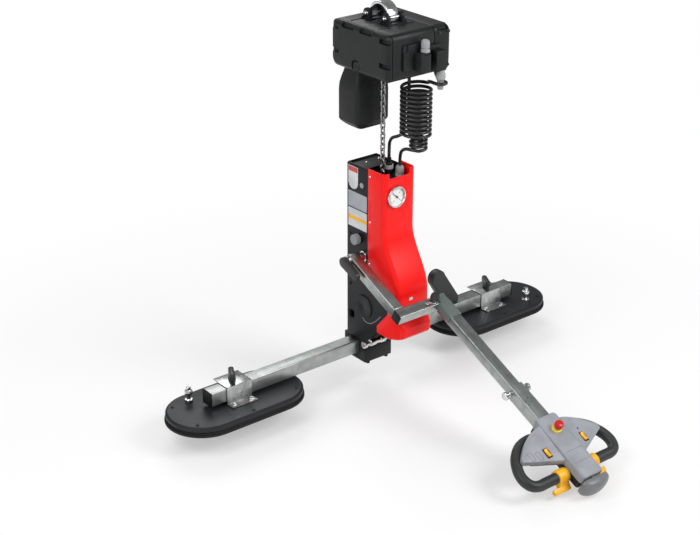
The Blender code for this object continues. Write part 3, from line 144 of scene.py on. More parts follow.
def coated(name, colour, roughness, clear=0.0, strength=0.12, specular=0.5):
    """Powder coat: slight orange peel over an even colour."""
    finish, tree, shader = new_finish(name, colour, 0.0, roughness, specular)
    shader.inputs["Coat Weight"].default_value = clear
    shader.inputs["Coat Roughness"].default_value = 0.12
    cloud = object_noise(tree, 9.0, 3.0)
    vary_colour(tree, shader, cloud, shade(colour, 0.93), shade(colour, 1.05))
    vary_roughness(tree, shader, cloud, roughness - 0.04, roughness + 0.05)
    raise_grain(tree, shader, object_noise(tree, 620.0, 2.0), strength, 0.0004)
    return finish


def plated(name, colour, roughness, stretch, spangle=40.0, spread=0.10):
    """Zinc plating on drawn steel: fine lines along the tube and a cloudy sheen."""
    finish, tree, shader = new_finish(name, colour, 1.0, roughness)
    cloud = object_noise(tree, spangle, 5.0)
    vary_colour(tree, shader, cloud, shade(colour, 0.80), shade(colour, 1.12), 0.32, 0.70)
    lines = object_noise(tree, 60.0, 6.0, stretch)
    vary_roughness(tree, shader, lines, roughness - spread, roughness + spread)
    raise_grain(tree, shader, lines, 0.06, 0.0002)
    return finish


def make_finishes():
    return {
        "housing": moulded("satin_black_housing", (0.0080, 0.0087, 0.0096), 0.46, 900.0, 0.20, 0.30),
        "black_coat": coated("black_powder_coat", (0.0070, 0.0080, 0.0098), 0.48, 0.0, 0.12, 0.30),
        "plate_coat": coated("pad_plate_coat", (0.0105, 0.0118, 0.0145), 0.46, 0.0, 0.12, 0.40),
        "black_plastic": moulded("black_moulding", (0.0085, 0.0092, 0.0100), 0.50, 1200.0, 0.18, 0.30),
        "knob_black": moulded("knob_moulding", (0.020, 0.021, 0.022), 0.40, 1500.0, 0.12),
        "jacket": moulded("cable_jacket", (0.0105, 0.0110, 0.0115), 0.36, 700.0, 0.08),
        "red": coated("red_powder_coat", (0.930, 0.0040, 0.0030), 0.40, 0.05, 0.05, 0.26),
        "zinc_x": plated("zinc_along_x", (0.43, 0.455, 0.445), 0.34, (0.04, 1.0, 1.0)),
        "zinc_y": plated("zinc_along_handle", (0.41, 0.440, 0.430), 0.32, (1.0, 0.05, 0.10)),
        "zinc": plated("zinc_sheet", (0.52, 0.54, 0.53), 0.30, (1.0, 1.0, 1.0), 70.0),
        "bright": plated("bright_plating", (0.68, 0.69, 0.70), 0.19, (1.0, 1.0, 1.0), 55.0, 0.06),
        "chain": plated("chain_plating", (0.40, 0.405, 0.40), 0.34, (1.0, 1.0, 1.0), 160.0, 0.08),
        "grey": moulded("grey_moulding", (0.290, 0.305, 0.335), 0.45, 1300.0, 0.16),
        "grey_dark": moulded("dark_grey_moulding", (0.110, 0.116, 0.128), 0.42, 1300.0, 0.14),
        "gland_grey": moulded("gland_moulding", (0.300, 0.305, 0.310), 0.42, 900.0, 0.10),
        "grip": moulded("soft_grip", (0.0230, 0.0245, 0.0255), 0.50, 1700.0, 0.20),
        "seal": moulded("sealing_rubber", (0.0085, 0.0088, 0.0092), 0.62, 500.0, 0.25, 0.35),
        "yellow": moulded("yellow_moulding", (0.930, 0.455, 0.012), 0.36, 1100.0, 0.06),
        "pale_yellow": moulded("collar_moulding", (0.860, 0.720, 0.080), 0.38, 1100.0, 0.06),
        "stop_red": moulded("stop_moulding", (0.640, 0.014, 0.012), 0.28, 1100.0, 0.05),
        "bracket": coated("bracket_paint", (0.105, 0.132, 0.124), 0.36),
        "nose": moulded("nose_moulding", (0.165, 0.170, 0.178), 0.36, 1300.0, 0.10),
        "label": moulded("bare_label", (0.62, 0.63, 0.64), 0.34, 300.0, 0.03),
        "label_red": moulded("bare_red_band", (0.55, 0.05, 0.04), 0.36, 300.0, 0.03),
        "label_grey": moulded("bare_plate", (0.36, 0.38, 0.42), 0.36, 300.0, 0.05),
        "dial": moulded("dial_face", (0.84, 0.84, 0.82), 0.40, 300.0, 0.02),
        "ink": moulded("dial_ink", (0.020, 0.020, 0.022), 0.50, 300.0, 0.02),
    }


FINISHES = make_finishes()


# Outlines

def arc(centre, radius, start, end, steps):
    points = []
    for i in range(steps + 1):
        angle = math.radians(start + (end - start) * i / steps)
        points.append((centre[0] + radius * math.cos(angle), centre[1] + radius * math.sin(angle)))
    return points


def rounded(low, high, radius, steps=5):
    """A rectangle between two corners with rounded corners."""
    corners = [((low[0] + radius, low[1] + radius), 180), ((high[0] - radius, low[1] + radius), 270),
               ((high[0] - radius, high[1] - radius), 0), ((low[0] + radius, high[1] - radius), 90)]
    points = []
    for centre, start in corners:
        points += arc(centre, radius, start, start + 90, steps)
    return points


def stadium(length, width, steps=28):
    radius = width / 2
    reach = length / 2 - radius
    return arc((reach, 0), radius, -90, 90, steps) + arc((-reach, 0), radius, 90, 270, steps)


def on_axis(axis, point, level):
    if axis == "x":
        return Vector((level, point[0], point[1]))
    if axis == "y":
        return Vector((point[0], level, point[1]))
    return Vector((point[0], point[1], level))


# Shaping

def leave_edit():
    if bpy.context.object and bpy.context.object.mode != "OBJECT":
        bpy.ops.object.mode_set(mode="OBJECT")


def only(piece):
    leave_edit()
    bpy.ops.object.select_all(action="DESELECT")
    piece.select_set(True)
    bpy.context.view_layer.objects.active = piece


def pick(piece, numbers):
    """Select the vertices with these numbers, and the edges between them, in edit mode."""
    bm = bmesh.from_edit_mesh(piece.data)
    bm.verts.ensure_lookup_table()
    for number in numbers:
        bm.verts[number].select = True
    bm.select_flush(True)
    bmesh.update_edit_mesh(piece.data)


def skin(name, rings, wrap=False):
    """Circles of one count stacked, bridged in turn and closed, then moved to the rings' points."""
    count = len(rings[0])
    leave_edit()
    bpy.ops.object.select_all(action="DESELECT")
    bpy.ops.mesh.primitive_circle_add(vertices=count, radius=0.01)
    piece = bpy.context.active_object
    piece.name = name
    bpy.ops.object.mode_set(mode="EDIT")
    for i in range(1, len(rings)):
        bpy.ops.mesh.primitive_circle_add(vertices=count, radius=0.01, location=(0.0, 0.0, 0.01 * i))
    bpy.ops.mesh.select_mode(type="VERT")
    pairs = [(i, i + 1) for i in range(len(rings) - 1)]
    if wrap:
        pairs.append((len(rings) - 1, 0))
    for first, second in pairs:
        bpy.ops.mesh.select_all(action="DESELECT")
        pick(piece, [*range(first * count, (first + 1) * count), *range(second * count, (second + 1) * count)])
        bpy.ops.mesh.bridge_edge_loops()
    if not wrap:
        for ring in (0, len(rings) - 1):
            bpy.ops.mesh.select_all(action="DESELECT")
            pick(piece, range(ring * count, (ring + 1) * count))
            bpy.ops.mesh.edge_face_add()
    bpy.ops.object.mode_set(mode="OBJECT")
    for vertex, point in zip(piece.data.vertices, [p for ring in rings for p in ring]):
        vertex.co = point
    bpy.ops.object.mode_set(mode="EDIT")
    bpy.ops.mesh.select_all(action="SELECT")
    bpy.ops.mesh.normals_make_consistent(inside=False)
    bpy.ops.object.mode_set(mode="OBJECT")
    return piece


def plate(name, outline, axis, low, high):
    return skin(name, [[on_axis(axis, p, level) for p in outline] for level in (low, high)])


def turned(name, profile, axis="z", steps=40, wrap=False):
    rings = []
    for radius, level in profile:
        ring = [(radius * math.cos(2 * math.pi * i / steps), radius * math.sin(2 * math.pi * i / steps))
                for i in range(steps)]
        rings.append([on_axis(axis, p, level) for p in ring])
    return skin(name, rings, wrap=wrap)


def pipe(name, outer, inner, axis, low, high):
    """A straight tube of one section; both outlines have the same number of points."""
    rings = [(outer, low), (outer, high), (inner, high), (inner, low)]
    return skin(name, [[on_axis(axis, p, level) for p in outline] for outline, level in rings], wrap=True)


def block(name, low, high):
    """A cube set to its corners."""
    leave_edit()
    bpy.ops.object.select_all(action="DESELECT")
    centre = [(a + b) / 2 for a, b in zip(low, high)]
    bpy.ops.mesh.primitive_cube_add(size=1.0, location=centre)
    piece = bpy.context.active_object
    piece.name = name
    piece.scale = [b - a for a, b in zip(low, high)]
    bpy.ops.object.transform_apply(location=True, rotation=True, scale=True)
    return piece


def move(piece, matrix):
    piece.data.transform(matrix)
    if matrix.determinant() < 0:
        piece.data.flip_normals()
    return piece


def apply_modifier(piece, kind, **settings):
    only(piece)
    modifier = piece.modifiers.new(kind.lower(), kind)
    for key, value in settings.items():
        setattr(modifier, key, value)
    bpy.ops.object.modifier_apply(modifier=modifier.name)
    return piece


def soften(piece, width, segments=2, angle=30.0):
    return apply_modifier(piece, "BEVEL", width=width, segments=segments, limit_method="ANGLE",
                          angle_limit=math.radians(angle), use_clamp_overlap=True)


def carve(piece, tool, operation="DIFFERENCE"):
    apply_modifier(piece, "BOOLEAN", object=tool, operation=operation, solver="EXACT")
    bpy.data.objects.remove(tool, do_unlink=True)
    return piece


def bore(piece, radius, low, high, axis, steps, place=Matrix.Identity(4)):
    """Cut a round hole between two levels along an axis."""
    return carve(piece, move(turned("bore", [(radius, low), (radius, high)], axis, steps), place))


def gather(name, pieces):
    """Join separate solids of one finish into one piece."""
    leave_edit()
    bpy.ops.object.select_all(action="DESELECT")
    for piece in pieces:
        piece.select_set(True)
    bpy.context.view_layer.objects.active = pieces[0]
    if len(pieces) > 1:
        bpy.ops.object.join()
    joined = bpy.context.active_object
    joined.name = name
    return joined


def copy_of(piece, matrix):
    """The same shape again, with its own mesh, at another place."""
    twin = bpy.data.objects.new(piece.name, piece.data.copy())
    bpy.context.collection.objects.link(twin)
    return move(twin, matrix)


def settle(piece, finish, body, matrix=Matrix.Identity(4), smooth=35.0, nodes=()):
    """Give the piece its finish, its place in the shared frame and its body."""
    only(piece)
    move(piece, TO_ORIGIN @ matrix)
    piece.data.materials.clear()
    piece.data.materials.append(FINISHES[finish])
    if smooth:
        bpy.ops.object.shade_smooth_by_angle(angle=math.radians(smooth))
    piece.data.name = piece.name
    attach(piece, body)
    if nodes:
        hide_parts(*nodes)
    return piece


def hexagon(radius):
    return [(radius * math.cos(math.pi * i / 3), radius * math.sin(math.pi * i / 3)) for i in range(6)]


def bolt_head(name, radius, height, axis="z"):
    """Hexagon head on a flat washer."""
    head = soften(plate(name, hexagon(radius), axis, 0.0012, 0.0012 + height), 0.0006, 2)
    washer = turned(name, [(radius * 1.35, 0.0), (radius * 1.35, 0.0010), (radius * 1.2, 0.0012)], axis, 24)
    return gather(name, [head, washer])


def smooth_path(points, spacing):
    """Points at even spacing on a smooth curve through the given points."""
    places = [Vector(p) for p in points]
    ends = [places[0] * 2 - places[1]] + places + [places[-1] * 2 - places[-2]]
    fine = []
    for i in range(1, len(ends) - 2):
        a, b, c, d = ends[i - 1:i + 3]
        for k in range(20):
            t = k / 20
            fine.append(0.5 * (2 * b + (c - a) * t + (2 * a - 5 * b + 4 * c - d) * t * t
                               + (3 * b - a - 3 * c + d) * t ** 3))
    fine.append(places[-1])
    total = sum((q - p).length for p, q in zip(fine, fine[1:]))
    count = max(2, round(total / spacing))
    result = [fine[0]]
    travelled = 0.0
    wanted = total / count
    for p, q in zip(fine, fine[1:]):
        step = (q - p).length
        while travelled + step >= wanted * len(result) and len(result) < count:
            result.append(p.lerp(q, (wanted * len(result) - travelled) / step))
        travelled += step
    result.append(fine[-1])
    return result


def as_mesh(thing):
    """Make a curve or text a mesh, weld what coincides and turn its faces outwards."""
    only(thing)
    bpy.ops.object.convert(target="MESH")
    bpy.ops.object.mode_set(mode="EDIT")
    bpy.ops.mesh.select_all(action="SELECT")
    bpy.ops.mesh.remove_doubles(threshold=0.00001)
    bpy.ops.mesh.normals_make_consistent(inside=False)
    bpy.ops.object.mode_set(mode="OBJECT")
    return bpy.context.active_object


def round_bar(name, path, radius, sides=4):
    """A round cord or bar along a path, made a mesh."""
    curve = bpy.data.curves.new(name, "CURVE")
    curve.dimensions = "3D"
    curve.bevel_depth = radius
    curve.bevel_resolution = sides
    curve.use_fill_caps = True
    spline = curve.splines.new("POLY")
    spline.points.add(len(path) - 1)
    for point, place in zip(spline.points, path):
        point.co = (*place, 1.0)
    bar = bpy.data.objects.new(name, curve)
    bpy.context.collection.objects.link(bar)
    return as_mesh(bar)


# Camera and light

SURROUND = 0.42            # strength of the light from all round
GLOSSY_CUT = 0.17          # taken off it in reflections, so that metal doesn't wash out


def set_camera():
    data = bpy.data.cameras.new("camera")
    data.lens = 78.04
    data.sensor_width = 36.0
    camera = bpy.data.objects.new("camera", data)
    bpy.context.collection.objects.link(camera)
    camera.location = (-2.4358, -2.9064, 2.0356 - EYE_Z)
    camera.rotation_euler = (math.radians(90.0 - 24.627), 0.0, math.radians(-38.657))
    data.clip_end = 100.0
    bpy.context.scene.camera = camera


def set_light():
    scene = bpy.context.scene
    scene.view_settings.view_transform = "Standard"
    world = bpy.data.worlds.new("studio")
    scene.world = world
    world.use_nodes = True
    tree = world.node_tree
    surround = tree.nodes["Background"]
    surround.inputs["Color"].default_value = (1.0, 1.0, 1.0, 1.0)
    white = tree.nodes.new("ShaderNodeBackground")
    white.inputs["Color"].default_value = (1.0, 1.0, 1.0, 1.0)
    white.inputs["Strength"].default_value = 1.0
    path = tree.nodes.new("ShaderNodeLightPath")
    dimmer = tree.nodes.new("ShaderNodeMath")
    dimmer.operation = "MULTIPLY_ADD"
    dimmer.inputs[1].default_value = -GLOSSY_CUT
    dimmer.inputs[2].default_value = SURROUND
    tree.links.new(path.outputs["Is Glossy Ray"], dimmer.inputs[0])
    tree.links.new(dimmer.outputs["Value"], surround.inputs["Strength"])
    mix = tree.nodes.new("ShaderNodeMixShader")
    tree.links.new(path.outputs["Is Camera Ray"], mix.inputs["Fac"])
    tree.links.new(surround.outputs["Background"], mix.inputs[1])
    tree.links.new(white.outputs["Background"], mix.inputs[2])
    tree.links.new(mix.outputs["Shader"], tree.nodes["World Output"].inputs["Surface"])
    lamps = {"key": ((1.3, -2.5, 1.5), 1.6, 72.0), "fill": ((-2.4, -1.3, 1.2), 2.0, 16.0),
             "rim": ((0.8, 2.4, 1.6), 1.6, 34.0), "edge": ((-1.6, -0.3, 0.8), 1.0, 14.0)}
    for name, (place, size, power) in lamps.items():
        data = bpy.data.lights.new(name, "AREA")
        data.size = size
        data.energy = power
        lamp = bpy.data.objects.new(name, data)
        bpy.context.collection.objects.link(lamp)
        lamp.location = place
        aim = Vector((0.0, -0.1, -0.6)) - Vector(place)
        lamp.rotation_euler = aim.to_track_quat("-Z", "Y").to_euler()


def lay_floor():
    """A pale floor that takes the shadow near the device and runs out into the white background."""
    bpy.ops.object.select_all(action="DESELECT")
    bpy.ops.mesh.primitive_plane_add(size=60.0, location=(0.0, 0.0, FLOOR_Z))
    floor = bpy.context.active_object
    floor.name = "studio_floor"
    finish, tree, shader = new_finish("pale_floor", (0.88, 0.88, 0.88), 0.0, 0.75)
    vary_roughness(tree, shader, object_noise(tree, 3.0, 2.0), 0.70, 0.80)
    glow = tree.nodes.new("ShaderNodeEmission")
    glow.inputs["Color"].default_value = (1.0, 1.0, 1.0, 1.0)
    place = tree.nodes.new("ShaderNodeTexCoord")
    reach = tree.nodes.new("ShaderNodeVectorMath")
    reach.operation = "LENGTH"
    fade = tree.nodes.new("ShaderNodeMapRange")
    fade.interpolation_type = "SMOOTHSTEP"
    fade.inputs["From Min"].default_value = 0.25
    fade.inputs["From Max"].default_value = 1.70
    fade.inputs["To Min"].default_value = 0.35
    fade.inputs["To Max"].default_value = 1.0
    path = tree.nodes.new("ShaderNodeLightPath")
    seen = tree.nodes.new("ShaderNodeMath")
    seen.operation = "MAXIMUM"
    weight = tree.nodes.new("ShaderNodeMath")
    weight.operation = "MULTIPLY"
    mix = tree.nodes.new("ShaderNodeMixShader")
    tree.links.new(place.outputs["Object"], reach.inputs[0])
    tree.links.new(reach.outputs["Value"], fade.inputs["Value"])
    tree.links.new(path.outputs["Is Camera Ray"], seen.inputs[0])
    tree.links.new(path.outputs["Is Glossy Ray"], seen.inputs[1])
    tree.links.new(seen.outputs["Value"], weight.inputs[0])
    tree.links.new(fade.outputs["Result"], weight.inputs[1])
    tree.links.new(weight.outputs["Value"], mix.inputs["Fac"])
    tree.links.new(shader.outputs["BSDF"], mix.inputs[1])
    tree.links.new(glow.outputs["Emission"], mix.inputs[2])
    tree.links.new(mix.outputs["Shader"], tree.nodes["Material Output"].inputs["Surface"])
    floor.data.materials.append(finish)


# Cables

CORD = 0.009
COIL = (0.0405, -0.085)
SMALL_COIL = (0.0468, -0.0895)


def winding(centre, radius, start, turns, top, bottom, per_turn=24):
    """Points of a coil from its top down; turns are counter-clockwise, or clockwise if negative."""
    count = round(abs(turns) * per_turn)
    points = []
    for i in range(count + 1):
        share = i / count
        angle = math.radians(start + 360 * turns * share)
        points.append((centre[0] + radius * math.cos(angle), centre[1] + radius * math.sin(angle),
                       top + (bottom - top) * share))
    return points


def lay_cable(name, points, nodes):
    """One cable from the hoist to the vacuum unit, laid along its route and coil."""
    path = [Vector(p) + Vector((0, 0, -EYE_Z)) for p in smooth_path(points, 0.006)]
    cable = round_bar(name, path, CORD / 2, 3)
    cable.data.materials.append(FINISHES["jacket"])
    only(cable)
    bpy.ops.object.shade_smooth_by_angle(angle=math.radians(50))
    cable.data.name = name
    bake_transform(cable)
    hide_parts(*nodes)


def build_cables():
    loop = [(x, y, 0.853) for x, y in arc((0.061, -0.154), 0.015, 15, -185, 8)]
    route = [(0.086, -0.106, 0.8707), (0.086, -0.106, 0.8665), (0.085, -0.110, 0.859), (0.082, -0.124, 0.854)]
    route += loop + [(0.0475, -0.132, 0.8525), (0.0590, -0.110, 0.8460), (0.0725, -0.0990, 0.8390)]
    route += winding(COIL, 0.0385, 2, 11.25, 0.8325, 0.6965)
    route += [(0.031, -0.0455, 0.6925), (0.0215, -0.036, 0.6850), (0.0185, -0.018, 0.6765), (0.0225, -0.003, 0.661),
              (0.026, 0.0035, 0.645), (0.026, 0.004, 0.630), (0.026, 0.004, 0.6133)]
    lay_cable("coiled_cable", route, ("cable_top_lead", "cable_coil", "cable_plug_lead"))

    route = [(0.031, -0.067, 0.8707), (0.031, -0.067, 0.860), (0.031, -0.067, 0.800), (0.031, -0.067, 0.735),
             (0.0315, -0.068, 0.710), (0.0335, -0.0700, 0.6965)]
    route += winding(SMALL_COIL, 0.0208, 118, -2.69, 0.6900, 0.6600)
    route += [(0.0235, -0.092, 0.6615), (0.020, -0.070, 0.6590), (0.0235, -0.050, 0.6465), (0.029, -0.0385, 0.630),
              (0.031, -0.035, 0.615), (0.031, -0.035, 0.6013)]
    lay_cable("inner_cable", route, ("cable_coil_small", "cable_gland_lead"))


# Hoist

HOUSING_LOW = (-0.130, 0.871)
HOUSING_HIGH = (0.103, 0.994)


def housing_part(name, low, high, low_bevel, high_bevel):
    def ring(level, inset):
        return [on_axis("x", p, level) for p in rounded([v + inset for v in HOUSING_LOW],
                                                        [v - inset for v in HOUSING_HIGH], 0.016, 6)]
    rings = [ring(low + low_bevel, 0.0), ring(high - high_bevel, 0.0)]
    if low_bevel:
        rings.insert(0, ring(low, low_bevel))
    if high_bevel:
        rings.append(ring(high, high_bevel))
    return soften(skin(name, rings), 0.0014, 2, 22.0)


def build_housing():
    """The hoist's body between its two covers."""
    left = housing_part("housing_left_cover", -0.093, -0.0796, 0.009, 0.0)
    pockets = [((-0.0950, 0.009, 0.9790), (-0.0845, 0.057, 0.9970)), ((-0.0950, -0.064, 0.9790),
                                                                      (-0.0845, -0.015, 0.9970)),
               ((-0.0960, -0.135, 0.9700), (-0.0835, -0.094, 0.9835)), ((-0.0960, -0.135, 0.9075),
                                                                        (-0.0835, -0.094, 0.9205)),
               ((-0.0960, 0.070, 0.9700), (-0.0835, 0.108, 0.9835)), ((-0.0960, 0.070, 0.9075),
                                                                      (-0.0835, 0.108, 0.9205))]
    for low, high in pockets:
        carve(left, soften(block("pocket", low, high), 0.0025, 2))
    carve(left, move(turned("recess", [(0.0165, -0.1), (0.0165, -0.0885), (0.0150, -0.0870)], "x", 40),
                     at(0, 0.000, 0.8890)))
    settle(left, "housing", "hoist", nodes=("hoist_cover_left",))
    hub = turned("cover_boss", [(0.0118, -0.0872), (0.0118, -0.0900), (0.0105, -0.0912), (0.0040, -0.0912),
                                (0.0030, -0.0900)], "x", 32)
    settle(hub, "housing", "hoist", at(0, 0.000, 0.8890))

    body = housing_part("housing_body", -0.0784, 0.0584, 0.0, 0.0)
    carve(body, block("channel", (-0.018, -0.018, 0.861), (0.018, 0.018, 0.981)))
    settle(body, "housing", "hoist", nodes=("hoist_body",))
    for i, y in enumerate((-0.062, 0.046)):
        rib = soften(block("rib", (-0.070, y, 0.9935), (0.050, y + 0.004, 0.9955)), 0.0008, 2)
        settle(rib, "housing", "hoist")
        rib.name = f"housing_rib_{i}"

    right = housing_part("housing_right_cover", 0.0596, 0.120, 0.0, 0.012)
    for low, high in (((0.0680, -0.135, 0.9790), (0.1130, -0.1120, 0.9970)),
                      ((0.0680, 0.085, 0.9790), (0.1130, 0.108, 0.9970)),
                      ((0.1105, -0.060, 0.9740), (0.1230, 0.040, 0.9850))):
        carve(right, soften(block("pocket", low, high), 0.0025, 2))
    for k in range(7):
        carve(right, soften(block("slot", (0.115, -0.055 + 0.015 * k, 0.900), (0.123, -0.049 + 0.015 * k, 0.950)),
                            0.0015, 2))
    settle(right, "housing", "hoist", nodes=("hoist_cover_right",))
    screws = []
    for x in (0.075, 0.105):
        for z in (0.888, 0.976):
            screws.append(move(bolt_head("screw", 0.0036, 0.0028, "y"), at(x, -0.1302, z)
                               @ Matrix.Scale(-1, 4, (0, 1, 0))))
    settle(gather("housing_screws", screws), "knob_black", "hoist")


def gland_body(name, height, radius):
    """Hexagon base, ribbed barrel and domed nut of a cable gland, standing on its foot."""
    base = soften(plate("base", hexagon(radius), "z", 0.0, height * 0.26), 0.0008, 2)
    slim = radius * 0.90
    barrel = turned("barrel", [(slim * 0.86, height * 0.24), (slim * 0.86, height * 0.34), (slim, height * 0.36),
                               (slim, height * 0.78), (slim * 0.90, height * 0.90), (slim * 0.62, height)], "z", 14)
    return gather(name, [base, soften(barrel, 0.0006, 2, 20.0)])


def build_sockets():
    """Two connector blocks on the hoist's front, one gland standing and one hanging."""
    face = HOUSING_LOW[0]
    base = soften(block("socket_base", (-0.0486, face - 0.0085, 0.898), (0.0224, face + 0.001, 0.964)), 0.0022, 3)
    carve(base, soften(block("cut", (-0.060, face - 0.02, 0.948), (-0.036, face - 0.0045, 0.970)), 0.001, 2))
    box = soften(block("box", (-0.0136, face - 0.034, 0.8945), (0.0194, face + 0.001, 0.943)), 0.0020, 3)
    carve(box, soften(block("cut", (-0.004, face - 0.040, 0.9375), (0.0245, face - 0.0300, 0.950)), 0.0006, 2))
    settle(gather("left_socket", [base, box]), "black_plastic", "hoist", nodes=("socket_left",))
    gland = gland_body("left_socket_gland", 0.032, 0.0125)
    settle(gland, "gland_grey", "hoist", at(0.009, -0.152, 0.943))

    box = soften(block("right_socket", (0.0385, face - 0.034, 0.887), (0.072, face + 0.001, 0.940)), 0.0020, 3)
    step = soften(block("step", (0.0330, face - 0.0060, 0.892), (0.0765, face + 0.001, 0.950)), 0.0015, 2)
    settle(gather("right_socket", [box, step]), "black_plastic", "hoist", nodes=("socket_right",))
    hanging = turned("hanging", [(0.0105, 0.001), (0.0105, -0.007), (0.0125, -0.009), (0.0128, -0.013),
                                 (0.0128, -0.020), (0.0112, -0.025), (0.0090, -0.027), (0.0090, -0.041),
                                 (0.0080, -0.043), (0.0080, -0.047), (0.0068, -0.051), (0.0030, -0.052)], "z", 18)
    hanging.name = "right_socket_gland"
    settle(soften(hanging, 0.0005, 2, 20.0), "gland_grey", "hoist", at(0.061, -0.154, 0.887))


def build_suspension():
    """The bow from which the device hangs, on two pins in four ears."""
    pin_z = 1.009
    span = 0.037
    crown = EYE_Z - 0.0325
    legs = [arc((0, crown), radius, 0, 180, 32) for radius in (0.0415, 0.0325)]
    foot = pin_z - 0.0125
    outer = [(0.0415, foot + 0.004)] + legs[0] + [(-0.0415, foot + 0.004), (-0.0370, foot), (-0.0325, foot + 0.004)]
    outline = outer + legs[1][::-1] + [(0.0325, foot + 0.004), (0.0370, foot)]
    bow = soften(plate("suspension_bar", outline, "x", -0.0165, 0.0165), 0.0022, 3, 40.0)
    settle(bow, "bright", "hoist", nodes=("suspension_bow",))
    pins = []
    for y in (-span, span):
        profile = [(0.0035, -0.0345), (0.0048, -0.0335), (0.0048, -0.0295), (0.0068, -0.0290), (0.0068, -0.0278),
                   (0.0050, -0.0276), (0.0050, 0.0276), (0.0068, 0.0278), (0.0068, 0.0290), (0.0048, 0.0295),
                   (0.0048, 0.0335), (0.0035, 0.0345)]
        pins.append(move(turned("pin", profile, "x", 28), at(0, y, pin_z)))
    settle(gather("suspension_pins", pins), "bright", "hoist")
    clevises = []
    for y in (-span, span):
        for side in (-1, 1):
            outline = arc((y, pin_z), 0.014, -10, 190, 24) + [(y - 0.0165, 0.9975), (y - 0.0165, 0.9935),
                                                            (y + 0.0165, 0.9935), (y + 0.0165, 0.9975)]
            low, high = sorted((side * 0.0193, side * 0.0273))
            ear = plate("ear", outline, "x", low, high)
            bore(ear, 0.0052, -0.04, 0.04, "x", 24, at(0, y, pin_z))
            clevises.append(soften(ear, 0.0011, 2, 40.0))
        clevises.append(soften(block("foot", (-0.031, y - 0.0185, 0.9930), (0.031, y + 0.0185, 0.9975)), 0.0012, 2))
    settle(gather("suspension_clevises", clevises), "black_coat", "hoist")
    bolts = []
    for y in (-span, span):
        for side in (-1, 1):
            for dy in (-0.0115, 0.0115):
                bolts.append(move(bolt_head("bolt", 0.0036, 0.0030), at(side * 0.0295, y + dy, 0.9972)))
    settle(gather("clevis_bolts", bolts), "black_coat", "hoist")


def build_chain_box():
    """A moulded bag-shaped box, narrow at its neck, with a rounded foot."""
    low, high = (-0.070, 0.022), (0.042, 0.106)
    levels = [(0.7007, 0.018), (0.7040, 0.0135), (0.7150, 0.002), (0.7200, 0.0), (0.8000, 0.0), (0.8180, 0.0012),
              (0.8350, 0.0050), (0.8520, 0.0095), (0.8600, 0.0112), (0.8706, 0.0115)]
    rings = []
    for level, inset in levels:
        section = rounded((low[0] + inset, low[1] + min(inset, 0.008)), (high[0] - inset, high[1] - inset), 0.0115,
                          6)
        rings.append([on_axis("z", p, level) for p in section])
    box = soften(skin("chain_bag", rings), 0.0015, 2, 24.0)
    settle(box, "black_plastic", "hoist", nodes=("chain_box",))
    collar = pipe("bag_collar", rounded((-0.061, 0.0285), (0.033, 0.097), 0.010, 6),
                  rounded((-0.0575, 0.032), (0.0295, 0.0935), 0.007, 6), "z", 0.8610, 0.8709)
    settle(soften(collar, 0.0008, 2), "black_coat", "hoist")


def build_chain():
    """Oval links of round wire; every second one is turned a quarter."""
    across, reach, wire = 0.006, 0.0036, 0.0025
    path = [(x, z + reach) for x, z in arc((0, 0), across, 0, 180, 9)]
    path += [(x, z - reach) for x, z in arc((0, 0), across, 180, 360, 9)]
    rings = []
    for x, z in path:
        inward = Vector((-x, 0, (reach if z > 0 else -reach) - z)).normalized()
        ring = []
        for k in range(10):
            angle = k * math.pi / 5
            ring.append(Vector((x, 0, z)) + wire * (math.cos(angle) * inward + math.sin(angle) * Vector((0, 1, 0))))
        rings.append(ring)
    link = skin("link", rings, wrap=True)
    links = [link]
    for i in range(1, 24):
        turn = Matrix.Rotation(math.pi / 2 * (i % 2), 4, "Z")
        links.append(copy_of(link, at(0, 0, 0.015 * i) @ turn))
    settle(gather("hoist_chain", links), "chain", "lifter", at(0, 0, 0.560), 60.0, ("load_chain",))


# Vacuum unit

HALF_FRAME = 0.052
FACE = -HALF_FRAME         # outside of the frame's left cheek
COVER_FACE = -0.072        # front of the cover's upright part
GAUGE_AT = at(-0.014, 0, 0.5345)
TERMINAL_TOP = 0.569       # top of the plate in the frame's open top


